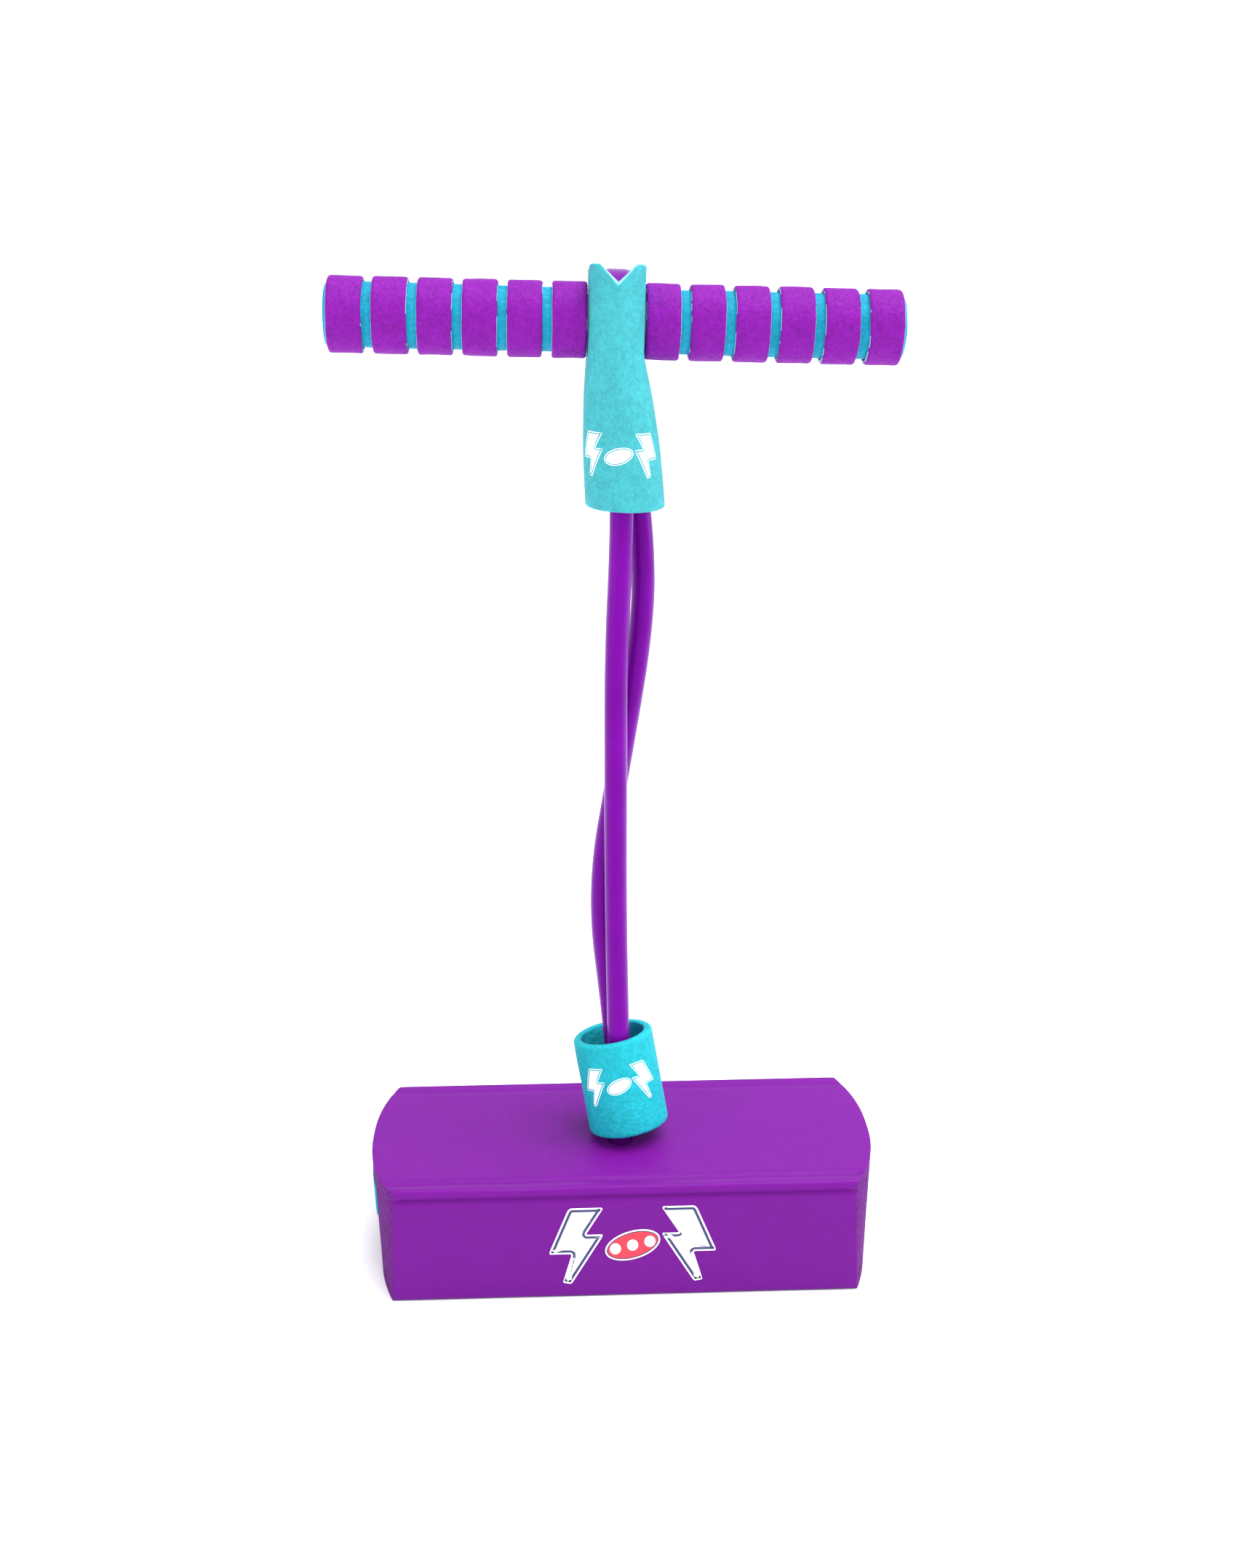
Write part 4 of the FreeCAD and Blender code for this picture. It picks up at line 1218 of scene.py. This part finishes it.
def patch(name, shapes, onto, spot_of, body, materials):
    """A printed film: shapes is a list of (outline, borders), where borders lists (inset, slot) from
    the rim inwards; spot_of gives a point and its normal near the foam for a point of the plane."""
    tree = BVHTree.FromObject(onto, bpy.context.evaluated_depsgraph_get())
    points, faces, slots = [], [], []
    film, root = 0.16 * MM, 0.25 * MM

    def laid(flat, rise):
        near, out = spot_of(flat)
        hit = tree.ray_cast(near + out * 8 * MM, -out, 16 * MM)[0]
        return (hit or near) + out * rise

    for layer, (outline, borders) in enumerate(shapes):
        rise = film + (0.08 * MM if layer > 2 else 0.0)
        centre = sum(outline, Vector((0, 0))) / len(outline)
        loops, bands = [], []
        for inset, slot in borders:
            loops.append(grow(outline, -inset))
            bands.append(slot)
        last = loops[-1]
        for share in (0.7, 0.4, 0.15):
            loops.append([centre.lerp(p, share) for p in last])
            bands.append(bands[-1])
        first, count = len(points), len(outline)
        points += [laid(p, -root) for p in loops[0]]
        for loop in loops:
            points += [laid(p, rise) for p in loop]
        points += [laid(centre, rise), laid(centre, -root)]
        rows = len(loops) + 1
        sheet = strips(rows, count, closed_columns=True, first=first)
        faces += sheet
        slots += [bands[max(0, i // count - 1)] for i in range(len(sheet))]
        top, under = len(points) - 2, len(points) - 1
        inner = first + (rows - 1) * count
        for i in range(count):
            nxt = (i + 1) % count
            faces.append((inner + i, inner + nxt, top))
            slots.append(bands[-1])
            faces.append((first + nxt, first + i, under))
            slots.append(bands[0])
    made = piece(name, points, faces, materials, slots)
    crease(made, 30.0)
    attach(made, body)
    return made


# The bolt's corners, from -1 to 1 each way.
BOLT = (
    (0.62, 1.0), (-0.18, 1.0), (-0.66, -0.2), (-0.12, -0.2),
    (-0.34, -0.96), (-0.14, -1.0), (0.62, 0.3), (0.2, 0.3),
)


def bolt(centre, reach, mirror=1):
    """A lightning bolt with rounded corners, reach tall each way, as an outline of the plane."""
    corners = [Vector((centre[0] + mirror * x * reach, centre[1] + y * reach)) for x, y in BOLT]
    if mirror < 0:
        corners.reverse()
    dense = []
    for a, b in zip(corners, corners[1:] + corners[:1]):
        dense += [a.lerp(b, share) for share in (0.0, 0.2, 0.5, 0.8)]
    return rounded_off(dense, 3)


def rounded_off(corners, times):
    for _ in range(times):
        rounder = []
        for a, b in zip(corners, corners[1:] + corners[:1]):
            rounder += [a.lerp(b, 0.25), a.lerp(b, 0.75)]
        corners = rounder
    return corners


def motif(width, outlined):
    """Two lightning bolts with a slanted oval badge between them, width from bolt to bolt. Material 0
    is the white ink; 1 is the outline's and 2 the badge's."""
    unit = width / 84
    rim = [(0.0, 0), (0.9 * unit, 1), ((2.4 if outlined else 2.2) * unit, 0)]
    tall = 23 * unit
    shapes = [(bolt((-29.5 * unit, 0.0), tall), rim), (bolt((29.5 * unit, 0.0), tall, -1), rim)]
    badge = [(0.0, 0), (0.9 * unit, 1), (2.0 * unit, 0)]
    if outlined:
        badge = [(0.0, 0), (0.8 * unit, 1), (1.4 * unit, 2)]
    shapes.append((oval((0, 0), 14.6 * unit, 8.8 * unit, 0.22), badge))
    return shapes


def print_on_tube(onto, place, radius, aside, level, body, word):
    """White print round the front of a tube."""

    def spot_of(flat):
        angle = (flat.x + aside) / radius
        out = Vector((math.sin(angle), -math.cos(angle), 0.0))
        near = place @ (out * radius + Vector((0, 0, level + flat.y)))
        return near, (place.to_3x3() @ out).normalized()

    patch(f"print_{word}", motif(37 * MM, False), onto, spot_of, body, ["ink_white", f"nitrile_foam_{word}"])


class JUMPER_OT_block_print(bpy.types.Operator):
    """Builds the printed film on the block's front: two outlined bolts and an oval badge"""

    bl_idname = "jumper.block_print"
    bl_label = "Block print"

    def execute(self, context):
        onto = bpy.data.objects["foot_block_wrap"]
        middle = Vector((3.4 * MM, BLOCK_LOW.y, 28.8 * MM))

        def spot_of(flat):
            return middle + Vector((flat.x, 0, flat.y)), Vector((0, -1, 0))

        shapes = motif(77 * MM, True)
        for i in (-1, 0, 1):
            centre = (i * 8.4 * MM, i * 1.85 * MM)
            shapes.append((oval(centre, 2.7 * MM, 3.1 * MM, count=28), [(0.0, 0)]))
        patch("print_block", shapes, onto, spot_of, "base", ["ink_white", "ink_navy", "ink_red"])
        return {"FINISHED"}


# ---------------------------------------------------------------- stage


def lamp(name, spot, aim, size, power):
    data = bpy.data.lights.new(name, "AREA")
    data.shape = "RECTANGLE"
    data.size, data.size_y = size
    data.energy = power
    made = linked(name, data)
    made.location = spot
    made.rotation_euler = (Vector(aim) - Vector(spot)).to_track_quat("-Z", "Y").to_euler()
    return made


class JUMPER_OT_stage(bpy.types.Operator):
    """Builds the pale floor, the soft lights and the camera"""

    bl_idname = "jumper.stage"
    bl_label = "Stage"

    def execute(self, context):
        scene = context.scene
        scene.view_settings.view_transform = "Standard"
        world = bpy.data.worlds.new("studio")
        world.use_nodes = True
        back = world.node_tree.nodes["Background"]
        back.inputs["Color"].default_value = (1, 1, 1, 1)
        back.inputs["Strength"].default_value = 1.0
        scene.world = world
        made = bpy.data.materials.new("studio_floor")
        made.use_nodes = True
        shader = made.node_tree.nodes["Principled BSDF"]
        shader.inputs["Base Color"].default_value = linear("EEEEF0")
        shader.inputs["Roughness"].default_value = 0.7
        reach = 6.0
        mesh = bpy.data.meshes.new("floor")
        corners = [(-reach, -reach, 0), (reach, -reach, 0), (reach, reach, 0), (-reach, reach, 0)]
        mesh.from_pydata(corners, [], [(0, 1, 2, 3)])
        mesh.materials.append(made)
        floor = linked("floor", mesh)
        sun = bpy.data.lights.new("skylight", "SUN")
        sun.energy = 4.2
        sun.angle = math.radians(50)
        sky = linked("skylight", sun)
        sky.rotation_euler = Vector((0.3, -0.1, 1.0)).to_track_quat("Z", "Y").to_euler()
        lamp("strip", (-0.9, -0.7, 0.55), (0, 0, 0.25), (0.12, 1.2), 3)
        lamp("right", (1.2, -0.15, 0.5), (0, 0, 0.2), (0.6, 0.6), 4.5)
        data = bpy.data.cameras.new("camera")
        data.sensor_width = 36.0
        focal, tall = 2655.0, 2156.0
        data.lens = focal / tall * data.sensor_width
        data.clip_start = 0.05
        eye = linked("camera", data)
        pitch, heading = math.radians(19.1), math.radians(-1.8)
        away, high = 0.869, 0.548
        eye.location = (away * math.sin(heading), -away * math.cos(heading), high)
        aside, roll = 12.5, math.radians(-0.31)
        drift = math.atan(aside / focal)
        eye.rotation_euler = (math.pi / 2 - pitch, 0.0, heading - drift)
        eye.rotation_euler.rotate_axis("Z", roll)
        scene.camera = eye
        return {"FINISHED"}


# ---------------------------------------------------------------- panel and registration

STEPS = (
    JUMPER_OT_stage,
    JUMPER_OT_cord,
    JUMPER_OT_foot_wrap,
    JUMPER_OT_foot_layers,
    JUMPER_OT_inner_parts,
    JUMPER_OT_collar,
    JUMPER_OT_sleeve,
    JUMPER_OT_grips,
    JUMPER_OT_block_print,
)


class JUMPER_PT_panel(bpy.types.Panel):
    """Lists the jumper's pieces"""

    bl_idname = "JUMPER_PT_panel"
    bl_label = "Foam pogo jumper"
    bl_space_type = "VIEW_3D"
    bl_region_type = "UI"
    bl_category = "Jumper"

    def draw(self, context):
        for step in STEPS:
            self.layout.operator(step.bl_idname)
        for group in ("colours", "block", "collar", "sleeve", "grip"):
            box = self.layout.box()
            box.label(text=group.capitalize())
            sizes = getattr(context.scene.jumper, group)
            for name in sizes.bl_rna.properties.keys():
                if name not in ("rna_type", "name"):
                    box.prop(sizes, name)


CLASSES = (
    JumperColours,
    BlockSizes,
    CollarSizes,
    SleeveSizes,
    GripSizes,
    JumperSizes,
    *STEPS,
    JUMPER_PT_panel,
)


def register():
    for kind in CLASSES:
        bpy.utils.register_class(kind)
    bpy.types.Scene.jumper = PointerProperty(type=JumperSizes)


def unregister():
    del bpy.types.Scene.jumper
    for kind in reversed(CLASSES):
        bpy.utils.unregister_class(kind)


def main():
    register()
    for step in STEPS:
        group, name = step.bl_idname.split(".")
        getattr(getattr(bpy.ops, group), name)()


if __name__ == "__main__":
    main()
